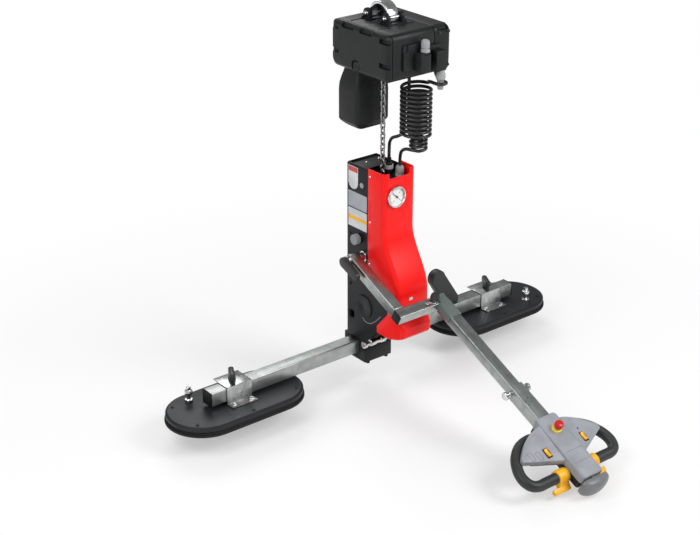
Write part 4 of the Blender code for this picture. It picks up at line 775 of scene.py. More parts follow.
def build_frame():
    """The black channel with its slot and curved groove, the boss, screws and plug on its sides."""
    side = [(0.088, 0.080), (0.003, 0.080), (-0.058, 0.137), (-0.105, 0.195), (-0.105, 0.245), (-0.030, 0.335),
            (-0.030, 0.597), (0.088, 0.597)]
    frame_sheet = plate("frame_sheet", side, "x", -HALF_FRAME, HALF_FRAME)
    soften(frame_sheet, 0.0045, 3, 80.0)
    carve(frame_sheet, soften(block("inside", (-0.048, -0.200, 0.020), (0.048, 0.084, 0.700)), 0.0015, 2))
    bore(frame_sheet, 0.0288, -0.08, 0.08, "x", 64, BEAM_AXIS)
    carve(frame_sheet, soften(block("slot", (-0.060, 0.054, 0.137), (-0.047, 0.078, 0.160)), 0.003, 3, 80.0))
    curved = [(0.021, 0.166), (0.019, 0.156), (0.010, 0.147), (0.000, 0.145), (-0.010, 0.146), (-0.020, 0.150),
              (-0.034, 0.160), (-0.048, 0.173), (-0.062, 0.187)]
    groove = round_bar("groove", smooth_path([(FACE, y, z) for y, z in curved], 0.003), 0.0014, 2)
    carve(frame_sheet, groove)
    trim = round_bar("slot_edge", smooth_path([(FACE + 0.0006, y, z) for y, z in curved], 0.003), 0.0009, 2)
    settle(trim, "label_grey", "lifter")
    for y, z, radius in ((0.072, 0.392, 0.0032), (-0.0805, 0.192, 0.0030), (-0.061, 0.180, 0.0026),
                         (0.072, 0.137, 0.0030)):
        bore(frame_sheet, radius, -0.060, -0.0505, "x", 20, at(0, y, z))
    settle(frame_sheet, "black_coat", "lifter", nodes=("frame_channel",))

    boss = turned("frame_boss", [(0.0345, FACE + 0.0002), (0.0345, FACE - 0.0018), (0.0325, FACE - 0.0036),
                                 (0.0090, FACE - 0.0036), (0.0080, FACE - 0.0030)], "x", 64)
    settle(boss, "black_coat", "lifter", at(0, 0.012, 0.190))
    screws = []
    for side in (-1, 1):
        for y, z in ((0.072, 0.392), (-0.0805, 0.192), (0.072, 0.240), (-0.018, 0.576)):
            head = [(0.0042, 0.0), (0.0042, 0.0012), (0.0034, 0.0021), (0.0016, 0.0021), (0.0014, 0.0012)]
            screws.append(move(turned("screw", head, "x", 20), at(side * HALF_FRAME, y, z) @ facing(side)))
    settle(gather("frame_screws", screws), "black_coat", "lifter")
    plug = turned("frame_plug", [(0.0078, FACE + 0.0002), (0.0078, FACE - 0.0010), (0.0066, FACE - 0.0019),
                                 (0.0020, FACE - 0.0023)], "x", 32)
    settle(plug, "gland_grey", "lifter", at(0, 0.023, 0.545))


def build_plates():
    """Bare plates on the frame's left cheek; they carry no words."""
    def on_cheek(name, low, high, radius, thickness=0.0007):
        return soften(plate(name, rounded(low, high, radius, 6), "x", FACE - thickness, FACE - 0.00005), 0.0002, 1)

    tall = arc((0.0595, 0.5455), 0.0205, 180, 360, 20) + [(0.080, 0.590), (0.039, 0.590)]
    settle(soften(plate("tall_plate", tall, "x", FACE - 0.0007, FACE - 0.00005), 0.0002, 1), "label", "lifter")
    strip = plate("tall_plate_band", rounded((0.0405, 0.5745), (0.0785, 0.5885), 0.001, 2), "x", FACE - 0.0009,
                  FACE - 0.0006)
    settle(strip, "label_red", "lifter")
    settle(on_cheek("data_plate", (0.001, 0.472), (0.080, 0.518), 0.003), "label_grey", "lifter")
    rivets = []
    for y in (0.0045, 0.0765):
        for z in (0.4755, 0.5145):
            rivet = turned("rivet", [(0.0015, FACE - 0.0006), (0.0013, FACE - 0.0011), (0.0006, FACE - 0.0014)],
                           "x", 14)
            rivets.append(move(rivet, at(0, y, z)))
    settle(gather("plate_rivets", rivets), "bright", "lifter")
    settle(on_cheek("load_plate", (0.001, 0.415), (0.080, 0.469), 0.002), "label", "lifter")
    band = plate("load_plate_band", rounded((0.0012, 0.4370), (0.0798, 0.4475), 0.0010, 2), "x", FACE - 0.0009,
                 FACE - 0.0006)
    settle(band, "yellow", "lifter")


def cover_front(z):
    """How far forward the cover reaches at a level: upright, an eased flare, the belly, then the chin."""
    if z >= 0.438:
        return COVER_FACE
    if z >= 0.270:
        t = (0.438 - z) / 0.168
        return COVER_FACE - 0.066 * (3 * t * t - 2 * t * t * t)
    if z >= 0.200:
        return -0.138
    if z >= 0.155:
        return -0.138 - 0.014 * min(1.0, (0.200 - z) / 0.022)
    t = (0.155 - z) / 0.021
    return -0.152 + 0.044 * t * t


def cover_rear(z):
    """Where the cover's sides end towards the rear at a level."""
    if z >= 0.310:
        return -0.007
    if z >= 0.235:
        return -0.007 - 0.085 * (0.310 - z) / 0.075
    if z >= 0.205:
        return -0.092
    return -0.092 + 0.044 * min(1.0, (0.205 - z) / 0.050)


def build_cover():
    """Pressed cover of one wall, formed through U-shaped sections from its chin to its open top."""
    marks = [0.134, 0.155, 0.178, 0.200, 0.205, 0.235, 0.270, 0.310, 0.384, 0.438, 0.603]
    levels = [marks[0]]
    for low, high in zip(marks, marks[1:]):
        steps = 2 if low >= 0.438 else math.ceil((high - low) / 0.008)
        levels += [low + (high - low) * (i + 1) / steps for i in range(steps)]
    rings = []
    for z in levels:
        front, rear = cover_front(z), cover_rear(z)
        flare = min(1.0, max(0.0, (0.400 - z) / 0.100))
        ring = []
        for half, lead, radius in ((0.0553, 0.0, 0.0140), (0.0523, 0.003, 0.0110)):
            wide = radius + 0.010 * flare
            path = [(-half, rear), (-half, rear + (front + lead + wide - rear) * 0.5)]
            path += arc((-half + radius, front + lead + radius), radius, 180, 270, 8)
            path += arc((half - radius, front + lead + radius), radius, 270, 360, 8)
            path += [(half, rear + (front + lead + wide - rear) * 0.5), (half, rear)]
            ring += path if lead == 0.0 else path[::-1]
        rings.append([on_axis("z", p, z) for p in ring])
    cover = skin("red_cover", rings)
    notch = plate("notch", rounded((-0.036, 0.587), (0.034, 0.640), 0.005, 5), "y", -0.090, -0.052)
    carve(cover, notch)
    bore(cover, 0.0275, -0.090, -0.052, "y", 64, GAUGE_AT)
    for z in (0.500, 0.470):
        bore(cover, 0.0016, -0.0565, -0.0542, "x", 16, at(0, -0.020, z))
    for x, z in ((0.0067, 0.4998), (0.0164, 0.5013), (0.0043, 0.4964)):
        bore(cover, 0.0008, -0.0735, -0.0712, "y", 12, at(x, 0, z))
    settle(soften(cover, 0.0008, 2, 40.0), "red", "lifter", smooth=32.0, nodes=("front_cover",))
    sticker = plate("cover_sticker", rounded((-0.0174, 0.2545), (-0.0054, 0.2625), 0.001, 3), "y", -0.1386, -0.1379)
    settle(sticker, "label", "lifter")
    studs = []
    for y, z in ((-0.016, 0.583), (-0.016, 0.452), (-0.016, 0.330)):
        for side in (-1, 1):
            head = [(0.0034, 0.0), (0.0034, 0.0010), (0.0026, 0.0018), (0.0012, 0.0018), (0.0010, 0.0010)]
            studs.append(move(turned("stud", head, "x", 18), at(side * 0.0553, y, z)
                              @ facing(side)))
    settle(gather("cover_studs", studs), "bright", "lifter")


def build_gauge():
    """A plain vacuum gauge: case, dial with bare numbers, a red zone and the needle."""
    place, front = GAUGE_AT, COVER_FACE
    case = turned("gauge_body", [(0.0265, front + 0.028), (0.0265, front - 0.0003), (0.0292, front - 0.0003),
                                 (0.0300, front - 0.0012), (0.0300, front - 0.0066), (0.0290, front - 0.0080),
                                 (0.0272, front - 0.0080), (0.0264, front - 0.0070), (0.0262, front - 0.0040)], "y",
                  64)
    settle(case, "bright", "lifter", place, nodes=("gauge_case",))
    dial = turned("gauge_dial", [(0.0261, front - 0.0038), (0.0261, front - 0.0042)], "y", 64)
    settle(dial, "dial", "lifter", place)
    ticks = []
    for i in range(31):
        long = i % 5 == 0
        width = 0.00042 if long else 0.00020
        tick = block("tick", (-width, front - 0.00445, 0.0185 if long else 0.0205), (width, front - 0.0041, 0.0232))
        ticks.append(move(tick, Matrix.Rotation(math.radians(-135 + 9 * i), 4, "Y")))
    for angle, words in ((-135, "0"), (-45, "3"), (45, "6"), (135, "9")):
        bpy.ops.object.select_all(action="DESELECT")
        bpy.ops.object.text_add()
        number = bpy.context.active_object
        number.data.body = words
        number.data.size = 0.0062
        number.data.align_x = "CENTER"
        number.data.align_y = "CENTER"
        number.data.extrude = 0.00012
        number = as_mesh(number)
        turn = math.radians(angle)
        spot = at(0.0146 * math.sin(turn), front - 0.0043, 0.0146 * math.cos(turn))
        ticks.append(move(number, spot @ Matrix.Rotation(math.pi / 2, 4, "X")))
    ring = arc((0, 0), 0.0237, -45, 225, 48) + arc((0, 0), 0.0231, -45, 225, 48)[::-1]
    ticks.append(plate("ring", ring, "y", front - 0.00445, front - 0.0041))
    settle(gather("gauge_scale", ticks), "ink", "lifter", place, 0)
    zone = []
    steps = 16
    for radius in (0.0248, 0.0234):
        zone.append(arc((0, 0), radius, -45, 45, steps))
    band = plate("gauge_zone", zone[0] + zone[1][::-1], "y", front - 0.00442, front - 0.0041)
    settle(band, "stop_red", "lifter", place, 0)
    pointer = [(-0.0015, -0.0065), (0.0015, -0.0065), (0.0005, 0.0190), (-0.0005, 0.0190)]
    needle = plate("pointer", pointer, "y", front - 0.0058, front - 0.0050)
    cap = turned("cap", [(0.0026, front - 0.0050), (0.0026, front - 0.0064), (0.0018, front - 0.0068)], "y", 24)
    reading = place @ Matrix.Rotation(math.radians(-50), 4, "Y")
    settle(gather("gauge_pointer", [needle, cap]), "ink", "needle", reading, 30.0, ("gauge_needle",))


def build_terminals():
    """What is seen in the frame's open top: the chain's anchor, the plate, the plug and the gland."""
    plate_sheet = pipe("terminal_sheet", rounded((-0.0477, -0.062), (0.0477, 0.0837), 0.002, 3),
                       rounded((-0.013, -0.013), (0.013, 0.013), 0.002, 3), "z", 0.566, TERMINAL_TOP)
    settle(soften(plate_sheet, 0.0004, 1), "black_coat", "lifter", nodes=("terminal_plate",))
    lid = soften(block("rear_lid", (-0.0477, 0.0180, 0.5890), (0.0477, 0.0838, 0.5915)), 0.0006, 2)
    settle(lid, "black_coat", "lifter")
    screws = []
    for x, y in ((-0.0080, 0.0565), (0.0380, 0.0600)):
        screws.append(move(bolt_head("screw", 0.0030, 0.0022), at(x, y, 0.5913)))
    settle(gather("lid_screws", screws), "bright", "lifter")
    plug = turned("plug_body", [(0.0095, 0.0), (0.0108, 0.0010), (0.0108, 0.0120), (0.0098, 0.0130),
                                (0.0098, 0.0250), (0.0086, 0.0300), (0.0066, 0.0320), (0.0064, 0.0435)], "z", 28)
    settle(plug, "black_plastic", "lifter", at(0.026, 0.004, TERMINAL_TOP))
    ring = pipe("plug_ring", arc((0, 0), 0.0115, 0, 348, 29), arc((0, 0), 0.0099, 0, 348, 29), "z", 0.0135, 0.0245)
    settle(ring, "label", "lifter", at(0.026, 0.004, TERMINAL_TOP))
    gland = gland_body("terminal_gland", 0.0320, 0.0130)
    settle(gland, "gland_grey", "lifter", at(0.031, -0.035, TERMINAL_TOP))
    bracket = soften(block("chain_bar", (-0.0477, -0.0105, 0.512), (0.0477, 0.0105, 0.534)), 0.0010, 2)
    ears = [soften(block("ear", (-0.020, y, 0.530), (0.020, y + 0.0055, 0.564)), 0.0010, 2) for y in (-0.0105,
                                                                                                      0.0050)]
    pin = move(turned("pin", [(0.0025, -0.0125), (0.0025, 0.0125)], "y", 20), at(0, 0, 0.5557))
    settle(gather("chain_clevis", [bracket, *ears, pin]), "zinc", "lifter", nodes=("chain_anchor",))


def build_side_parts():
    knob = turned("valve_knob", [(0.0090, -0.0523), (0.0090, -0.0560), (0.0140, -0.0570), (0.0148, -0.0580),
                                 (0.0148, -0.0700), (0.0138, -0.0716), (0.0110, -0.0722), (0.0100, -0.0712)], "x",
                  60)
    for k in range(15):
        turn = Matrix.Rotation(2 * math.pi * k / 15, 4, "X")
        bore(knob, 0.0012, -0.0735, -0.0580, "x", 12, turn @ at(0, 0.0152, 0))
    settle(knob, "grey", "knob", at(0, 0.034, 0.388), nodes=("side_knob",))

    outline = [(0.0150, -0.0523), (0.0150, -0.0560), (0.0120, -0.0568), (0.0120, -0.0700), (0.0158, -0.0708),
               (0.0158, -0.0747), (0.0080, -0.0747), (0.0080, -0.1053), (0.0140, -0.1053), (0.0140, -0.1070),
               (0.0112, -0.1071), (0.0112, -0.1125), (0.0100, -0.1133), (0.0050, -0.1133)]
    settle(turned("handle_bolt_left", outline, "x", 40), "bright", "lifter", PIVOT,
           nodes=("pivot_bolt_left",))

    outline = [(0.011, 0.012), (0.103, 0.012), (0.103, 0.0797), (0.0837, 0.0797), (0.0837, 0.112), (0.021, 0.112),
               (0.011, 0.102)]
    bearing = plate("beam_bearing", outline, "x", -0.0477, 0.0477)
    bore(bearing, 0.0335, -0.06, 0.06, "x", 64, BEAM_AXIS)
    carve(bearing, block("split", (-0.06, 0.005, 0.0545), (0.06, 0.030, 0.0560)))
    settle(soften(bearing, 0.0016, 2, 40.0), "black_coat", "lifter", nodes=("tilt_block",))
    bolts = []
    for x in (-0.033, 0.033):
        head = [(0.0055, 0.0), (0.0055, 0.0055), (0.0048, 0.0063), (0.0028, 0.0063), (0.0028, 0.0030)]
        bolts.append(move(turned("bolt", head, "z", 24), at(x, 0.0165, 0.0122)
                          @ Matrix.Rotation(math.pi, 4, "X")))
    settle(gather("bearing_bolts", bolts), "black_coat", "lifter")

    radius, bead, stem = 0.0095, 0.0075, 0.0060
    profile = [(0.0048, -0.0880), (bead, -0.0878), (radius, -0.0865), (radius, -0.0765), (stem, -0.0750),
               (stem, -0.0640), (radius, -0.0630), (radius, -0.0450), (bead, -0.0440), (bead, -0.0280),
               (radius, -0.0270), (radius, -0.0125), (stem, -0.0110), (stem, -0.0060)]
    fitting = soften(turned("vacuum_fitting", profile, "x", 36), 0.0003, 1)
    settle(fitting, "bright", "lifter", at(0, -0.0287, 0.0962), nodes=("vacuum_manifold",))


# Crossbeam

def build_beam():
    """The square tube in its hub, with end plugs and the tilting handle."""
    tube = pipe("beam_tube", rounded((-0.020, -0.020), (0.020, 0.020), 0.0032, 5),
                rounded((-0.017, -0.017), (0.017, 0.017), 0.0010, 5), "x", -0.545, 0.545)
    settle(tube, "zinc_x", "beam", BEAM_AXIS, nodes=("crossbeam",))
    hub = pipe("beam_hub", arc((0, 0), 0.033, 0, 354, 59), arc((0, 0), 0.0205, 0, 354, 59), "x", -0.047, 0.047)
    inner = block("inner", (-0.1, -0.0203, -0.0203), (0.1, 0.0203, 0.0203))
    carve(hub, inner)
    settle(soften(hub, 0.0008, 1, 60.0), "black_coat", "beam", BEAM_AXIS)
    for name, side in SIDES.items():
        cap = soften(block(f"beam_end_{name}", (-0.0020, -0.0200, -0.0200), (0.0020, 0.0200, 0.0200)), 0.0016, 3)
        plug = block("plug", (-0.0120, -0.0160, -0.0160), (0.0, 0.0160, 0.0160))
        move(plug, facing(side))
        place = BEAM_AXIS @ at(side * 0.5475, 0, 0)
        settle(gather(f"beam_end_{name}", [cap, plug]), "black_plastic", "beam", place, nodes=(f"beam_cap_{name}",))
    foot = 0.0203
    outline = [(0.285, foot), (0.336, foot), (0.3345, foot + 0.022)]
    outline += arc((0.256, foot + 0.095), 0.026, 20, 225, 24)
    grip = soften(plate("tilt_grip", outline, "y", -0.013, 0.013), 0.0050, 4, 40.0)
    settle(grip, "grip", "beam", BEAM_AXIS, nodes=("tilt_handle",))


def capsule(length, width, level):
    return [on_axis("z", p, level) for p in stadium(length, width)]


def build_pads():
    """Each pad with its seal, plate, bracket, clamping knob and valve; the right one is turned round."""
    for name, side in SIDES.items():
        place = at(side * 0.459, 0.057, 0.0)
        turn = place @ Matrix.Rotation(0 if side < 0 else math.pi, 4, "Z")
        body = f"pad_{name}"
        length, width = 0.411, 0.212
        lip = [(0.0, 0.0000), (0.0012, -0.0008), (0.0040, -0.0006), (0.0065, 0.0010), (0.0065, 0.0045),
               (0.0085, 0.0058), (0.0120, 0.0068), (0.0138, 0.0085), (0.0140, 0.0360), (0.0100, 0.0360),
               (0.0040, 0.0290), (0.0000, 0.0260)]
        rings = [capsule(length - 2 * max(0.0, inset), width - 2 * max(0.0, inset), level) for level, inset in lip]
        seal = skin(f"suction_lip_{name}", rings, wrap=True)
        settle(seal, "seal", body, turn, 40.0, (f"pad_seal_{name}",))
        edge = [(0.0143, 0.0050), (0.0143, 0.0034), (0.0150, 0.0030), (0.0218, 0.0030), (0.0228, 0.0034),
                (0.0252, 0.0072), (0.0262, 0.0092), (0.0263, 0.0130)]
        rings = [capsule(length - 2 * inset, width - 2 * inset, level) for level, inset in edge]
        base = skin(f"suction_plate_{name}", rings)
        settle(base, "plate_coat", body, turn, 25.0, (f"pad_plate_{name}",))
        screws = []
        for x, y in ((0.160, 0.060), (0.160, -0.060), (-0.160, 0.060), (-0.160, -0.060), (0.0, -0.086),
                     (0.0, 0.086)):
            screws.append(move(turned("screw", [(0.0048, -0.0005), (0.0048, 0.0016), (0.0038, 0.0028),
                                                (0.0020, 0.0028), (0.0018, 0.0014)], "z", 20), at(x, y, 0.0263)))
        settle(gather(f"plate_screws_{name}", screws), "plate_coat", body, turn)

        foot, shelf, roof, top = 0.0266, 0.0296, 0.0753, 0.0783
        hat = [(-0.0493, foot), (-0.0203, foot), (-0.0203, roof), (0.0203, roof), (0.0203, foot), (0.0493, foot),
               (0.0493, shelf), (0.0233, shelf), (0.0233, roof), (0.0433, roof), (0.0433, top), (-0.0233, top),
               (-0.0233, shelf), (-0.0493, shelf)]
        bracket = soften(plate(f"pad_clamp_{name}", hat, "x", -0.040, 0.040), 0.0009, 2, 40.0)
        settle(bracket, "zinc", body, place, nodes=(f"pad_bracket_{name}",))
        bolts = []
        for x in (-0.029, 0.029):
            for y in (-0.0375, 0.0375):
                bolts.append(move(bolt_head("bolt", 0.0050, 0.0042), at(x, y, shelf)))
        settle(gather(f"clamp_bolts_{name}", bolts), "bright", body, place)

        levels = [(0.0235, 0.0195, 0.0), (0.0240, 0.0200, 0.0010), (0.0240, 0.0200, 0.0060),
                  (0.0300, 0.0185, 0.0085), (0.0520, 0.0165, 0.0130), (0.0555, 0.0160, 0.0160),
                  (0.0560, 0.0155, 0.0225), (0.0530, 0.0135, 0.0262), (0.0460, 0.0090, 0.0280)]
        rings = [[on_axis("z", p, level) for p in stadium(size, thick, 14)] for size, thick, level in levels]
        knob = soften(skin(f"clamp_knob_{name}", rings), 0.0006, 2, 40.0)
        spot = place @ at(0.004 * side, 0.006, top + 0.0003) @ Matrix.Rotation(math.radians(62), 4, "Z")
        settle(knob, "knob_black", f"clamp_{name}", spot, nodes=(f"pad_knob_{name}",))

        valve = [(0.0110, 0.0), (0.0110, 0.0070), (0.0100, 0.0080), (0.0062, 0.0084), (0.0058, 0.0100),
                 (0.0058, 0.0210), (0.0066, 0.0222), (0.0104, 0.0232), (0.0110, 0.0245), (0.0110, 0.0315),
                 (0.0102, 0.0328), (0.0070, 0.0338), (0.0062, 0.0350), (0.0068, 0.0380), (0.0062, 0.0430),
                 (0.0050, 0.0440)]
        spot = turn @ at(-0.108, 0.060, foot)
        piece = turned(f"suction_valve_{name}", valve, "z", 32)
        settle(piece, "bright", body, spot, nodes=(f"pad_valve_{name}",))
        hexes = soften(plate(f"valve_nut_{name}", hexagon(0.0125), "z", 0.0002, 0.0066), 0.0006, 2)
        settle(hexes, "bright", body, spot)


# Handle

CROSS_AT = 0.221           # cross tube, along the handle from its pivot
TUBE_HALF = 0.015          # of the arm and the cross tube
TUBE_BORE = 0.0125         # half the width inside
CROSS_ENDS = {"left": 0.105, "right": 0.066}


def on_handle(x, along=0.0, up=0.0):
    """A place in the handle's own plane, measured from the pivot along the handle."""
    return HANDLE @ at(x, -along, up)


def build_bail():
    """The left arm, the cross tube and its caps, the handle tube, and what clamps and joins them."""
    half, bored = TUBE_HALF, TUBE_BORE
    outline = arc((0, 0), 0.017, -90, 90, 24) + [(-0.020, half), (-0.2057, half), (-0.2057, -half), (-0.020, -half)]
    arm = soften(plate("handle_arm_left", outline, "x", -half, half), 0.0024, 3, 40.0)
    carve(arm, block("bore", (-bored, -0.2300, -bored), (bored, -0.0280, bored)))
    bore(arm, 0.0085, -0.02, 0.02, "x", 40)
    settle(arm, "zinc_y", "handle", on_handle(-0.090), nodes=("bail_arm_left",))
    for name, side in SIDES.items():
        end = CROSS_ENDS[name]
        cap = soften(block("cap", (end - 0.0002, -half, -half), (end + 0.0030, half, half)), 0.0012, 3)
        plug = block("plug", (end - 0.0090, -0.0118, -0.0118), (end + 0.0010, 0.0118, 0.0118))
        piece = move(gather(f"handle_cap_{name}", [cap, plug]), facing(side))
        settle(piece, "black_plastic", "handle", on_handle(0.0, CROSS_AT), nodes=(f"bail_cap_{name}",))

    outer = rounded((-half, -half), (half, half), 0.0026, 4)
    inner = rounded((-bored, -bored), (bored, bored), 0.001, 4)
    cross = pipe("handle_crossbar", outer, inner, "x", -CROSS_ENDS["left"], CROSS_ENDS["right"])
    settle(cross, "zinc_x", "handle", on_handle(0.0, CROSS_AT), nodes=("handle_yoke",))
    outer = rounded((-0.0170, -0.0147), (0.0170, 0.0147), 0.0024, 4)
    inner = rounded((-0.0145, -0.0122), (0.0145, 0.0122), 0.001, 4)
    settle(pipe("handle_tube", outer, inner, "y", -0.600, -0.2355), "zinc_y", "handle", on_handle(TUBE_X))
    clip = [(-0.020, -0.006), (-0.0165, -0.006), (-0.0165, 0.0140), (0.0165, 0.0140), (0.0165, -0.006),
            (0.020, -0.006), (0.020, 0.0150), (0.0185, 0.0180), (-0.0185, 0.0180), (-0.020, 0.0150)]
    bracket = soften(plate("root_bracket", clip, "y", -0.288, -0.2355), 0.0012, 3, 30.0)
    settle(bracket, "bracket", "handle", on_handle(TUBE_X))
    cheek = [(-0.2350, 0.0148), (-0.2062, 0.0148), (-0.2075, 0.0170), (-0.2120, 0.0180), (-0.2370, 0.0180),
             (-0.2370, 0.0140)]
    tongue = soften(plate("bracket_tongue", cheek, "x", -0.0130, 0.0165), 0.0010, 2, 40.0)
    settle(tongue, "bracket", "handle", on_handle(TUBE_X))
    # Painted reflection: bright plated ripples on the cross tube's top stand in for wavy light reflected by its
    # metal.
    ripple_glints = []
    for k in range(6):
        curl = smooth_path([(-0.004 - 0.0028 * k, -0.0125, 0.0150), (0.000 - 0.0028 * k, -0.0060 + 0.001 * (k % 2),
                                                                     0.0153), (-0.003 - 0.0028 * k, 0.0010, 0.0151),
                            (0.001 - 0.0028 * k, 0.0085, 0.0150)], 0.002)
        ripple_glints.append(round_bar("bead", curl, 0.0008, 2))
    settle(gather("painted_reflection_ripples", ripple_glints), "bright", "handle", on_handle(0.0090, CROSS_AT), 60.0)
    weld = []
    for side in (-1, 1):
        line = [(side * 0.0172, -0.2362, z) for z in (-0.0120, -0.0060, 0.0, 0.0060, 0.0120)]
        weld.append(round_bar("bead", smooth_path(line, 0.002), 0.0016, 3))
    settle(gather("joint_weld", weld), "bright", "handle", on_handle(TUBE_X), 60.0)

    knob = turned("lock_knob", [(0.0065, 0.0), (0.0065, 0.0050), (0.0098, 0.0066), (0.0118, 0.0090),
                                (0.0125, 0.0120), (0.0125, 0.0205), (0.0118, 0.0235), (0.0098, 0.0256),
                                (0.0060, 0.0260)], "z", 32)
    settle(knob, "knob_black", "handle", on_handle(0.018, CROSS_AT, 0.0153), nodes=("corner_knob",))
    ring = [(0.0105 + 0.0010 * math.cos(a),
             0.0030 + 0.0010 * math.sin(a)) for a in [k * math.pi / 4 for k in range(8)]]
    settle(turned("lock_ring", ring, "z", 32, True), "bright", "handle", on_handle(0.018, CROSS_AT, 0.0153))

    outline = arc((0, 0), 0.015, -85, 85, 20) + arc((-0.055, 0), 0.011, 95, 265, 16)
    lever = soften(plate("clamping_lever", outline, "x", -0.1276, -0.1136), 0.0022, 3, 40.0)
    settle(lever, "knob_black", "pivot_clamp", HANDLE, nodes=("pivot_lever",))


def build_sleeve():
    """The sleeve that carries the head and slides on the handle tube, with its two screws."""
    outer = rounded((-0.0205, -0.0185), (0.0205, 0.0185), 0.0026, 4)
    inner = rounded((-0.0175, -0.0155), (0.0175, 0.0155), 0.0010, 4)
    sleeve = pipe("head_sleeve", outer, inner, "y", -SLEEVE_END, -0.545)
    for x, along in ((-0.0125, 0.6015), (-0.0015, 0.5935), (-0.0025, 0.6095), (-0.0115, 0.6135)):
        bore(sleeve, 0.0016, 0.014, 0.022, "z", 16, at(x, -along, 0))
    settle(soften(sleeve, 0.0004, 1, 50.0), "zinc_y", "tiller", on_handle(TUBE_X), nodes=("sleeve",))
    for name, side in SIDES.items():
        start = 0.0208
        profile = [(0.0070, start), (0.0070, start + 0.0060), (0.0062, start + 0.0070), (0.0040, start + 0.0078),
                   (0.0040, start + 0.0140), (0.0098, start + 0.0146), (0.0110, start + 0.0156),
                   (0.0110, start + 0.0212), (0.0100, start + 0.0224), (0.0050, start + 0.0230)]
        screw = turned(f"sleeve_screw_{name}", [(radius, side * level) for radius, level in profile], "x", 36)
        for k in range(7):
            turn = Matrix.Rotation(2 * math.pi * k / 7, 4, "X")
            bore(screw, 0.0020, side * (start + 0.0135), side * (start + 0.0250), "x", 14, turn @ at(0, 0.0118, 0))
        settle(screw, "bright", f"screw_{name}", on_handle(TUBE_X, 0.557), nodes=(f"clamp_screw_{name}",))


# Tiller head

SPINE_HALF = 0.034
WING_HEIGHT = 0.014        # of a wing's upper face beside the spine, at its middle
WING_MIDDLE = 0.093        # from the sleeve's end; the switches sit there
DROOP = 0.10               # fall of a wing outwards
FALL = 0.032               # fall of a wing towards the rear
SWITCH_X = 0.065
BUTTON_AT = 0.049
GRIP_AT = 0.150            # the grips' rear bars and the levers, from the sleeve's end
GRIP_LEVEL = -0.0205


def wing_top(x, b):
    """Height of a wing's upper face: it droops outwards and falls a little towards the rear."""
    return WING_HEIGHT - DROOP * (abs(x) - SPINE_HALF) - FALL * (b - WING_MIDDLE)


def wing_edge(x):
    """Front and rear edge of a wing at a distance from the middle; they meet near its tip."""
    t = (abs(x) - SPINE_HALF) / 0.104
    return 0.020 + 0.056 * t * t, 0.132 - 0.046 * t


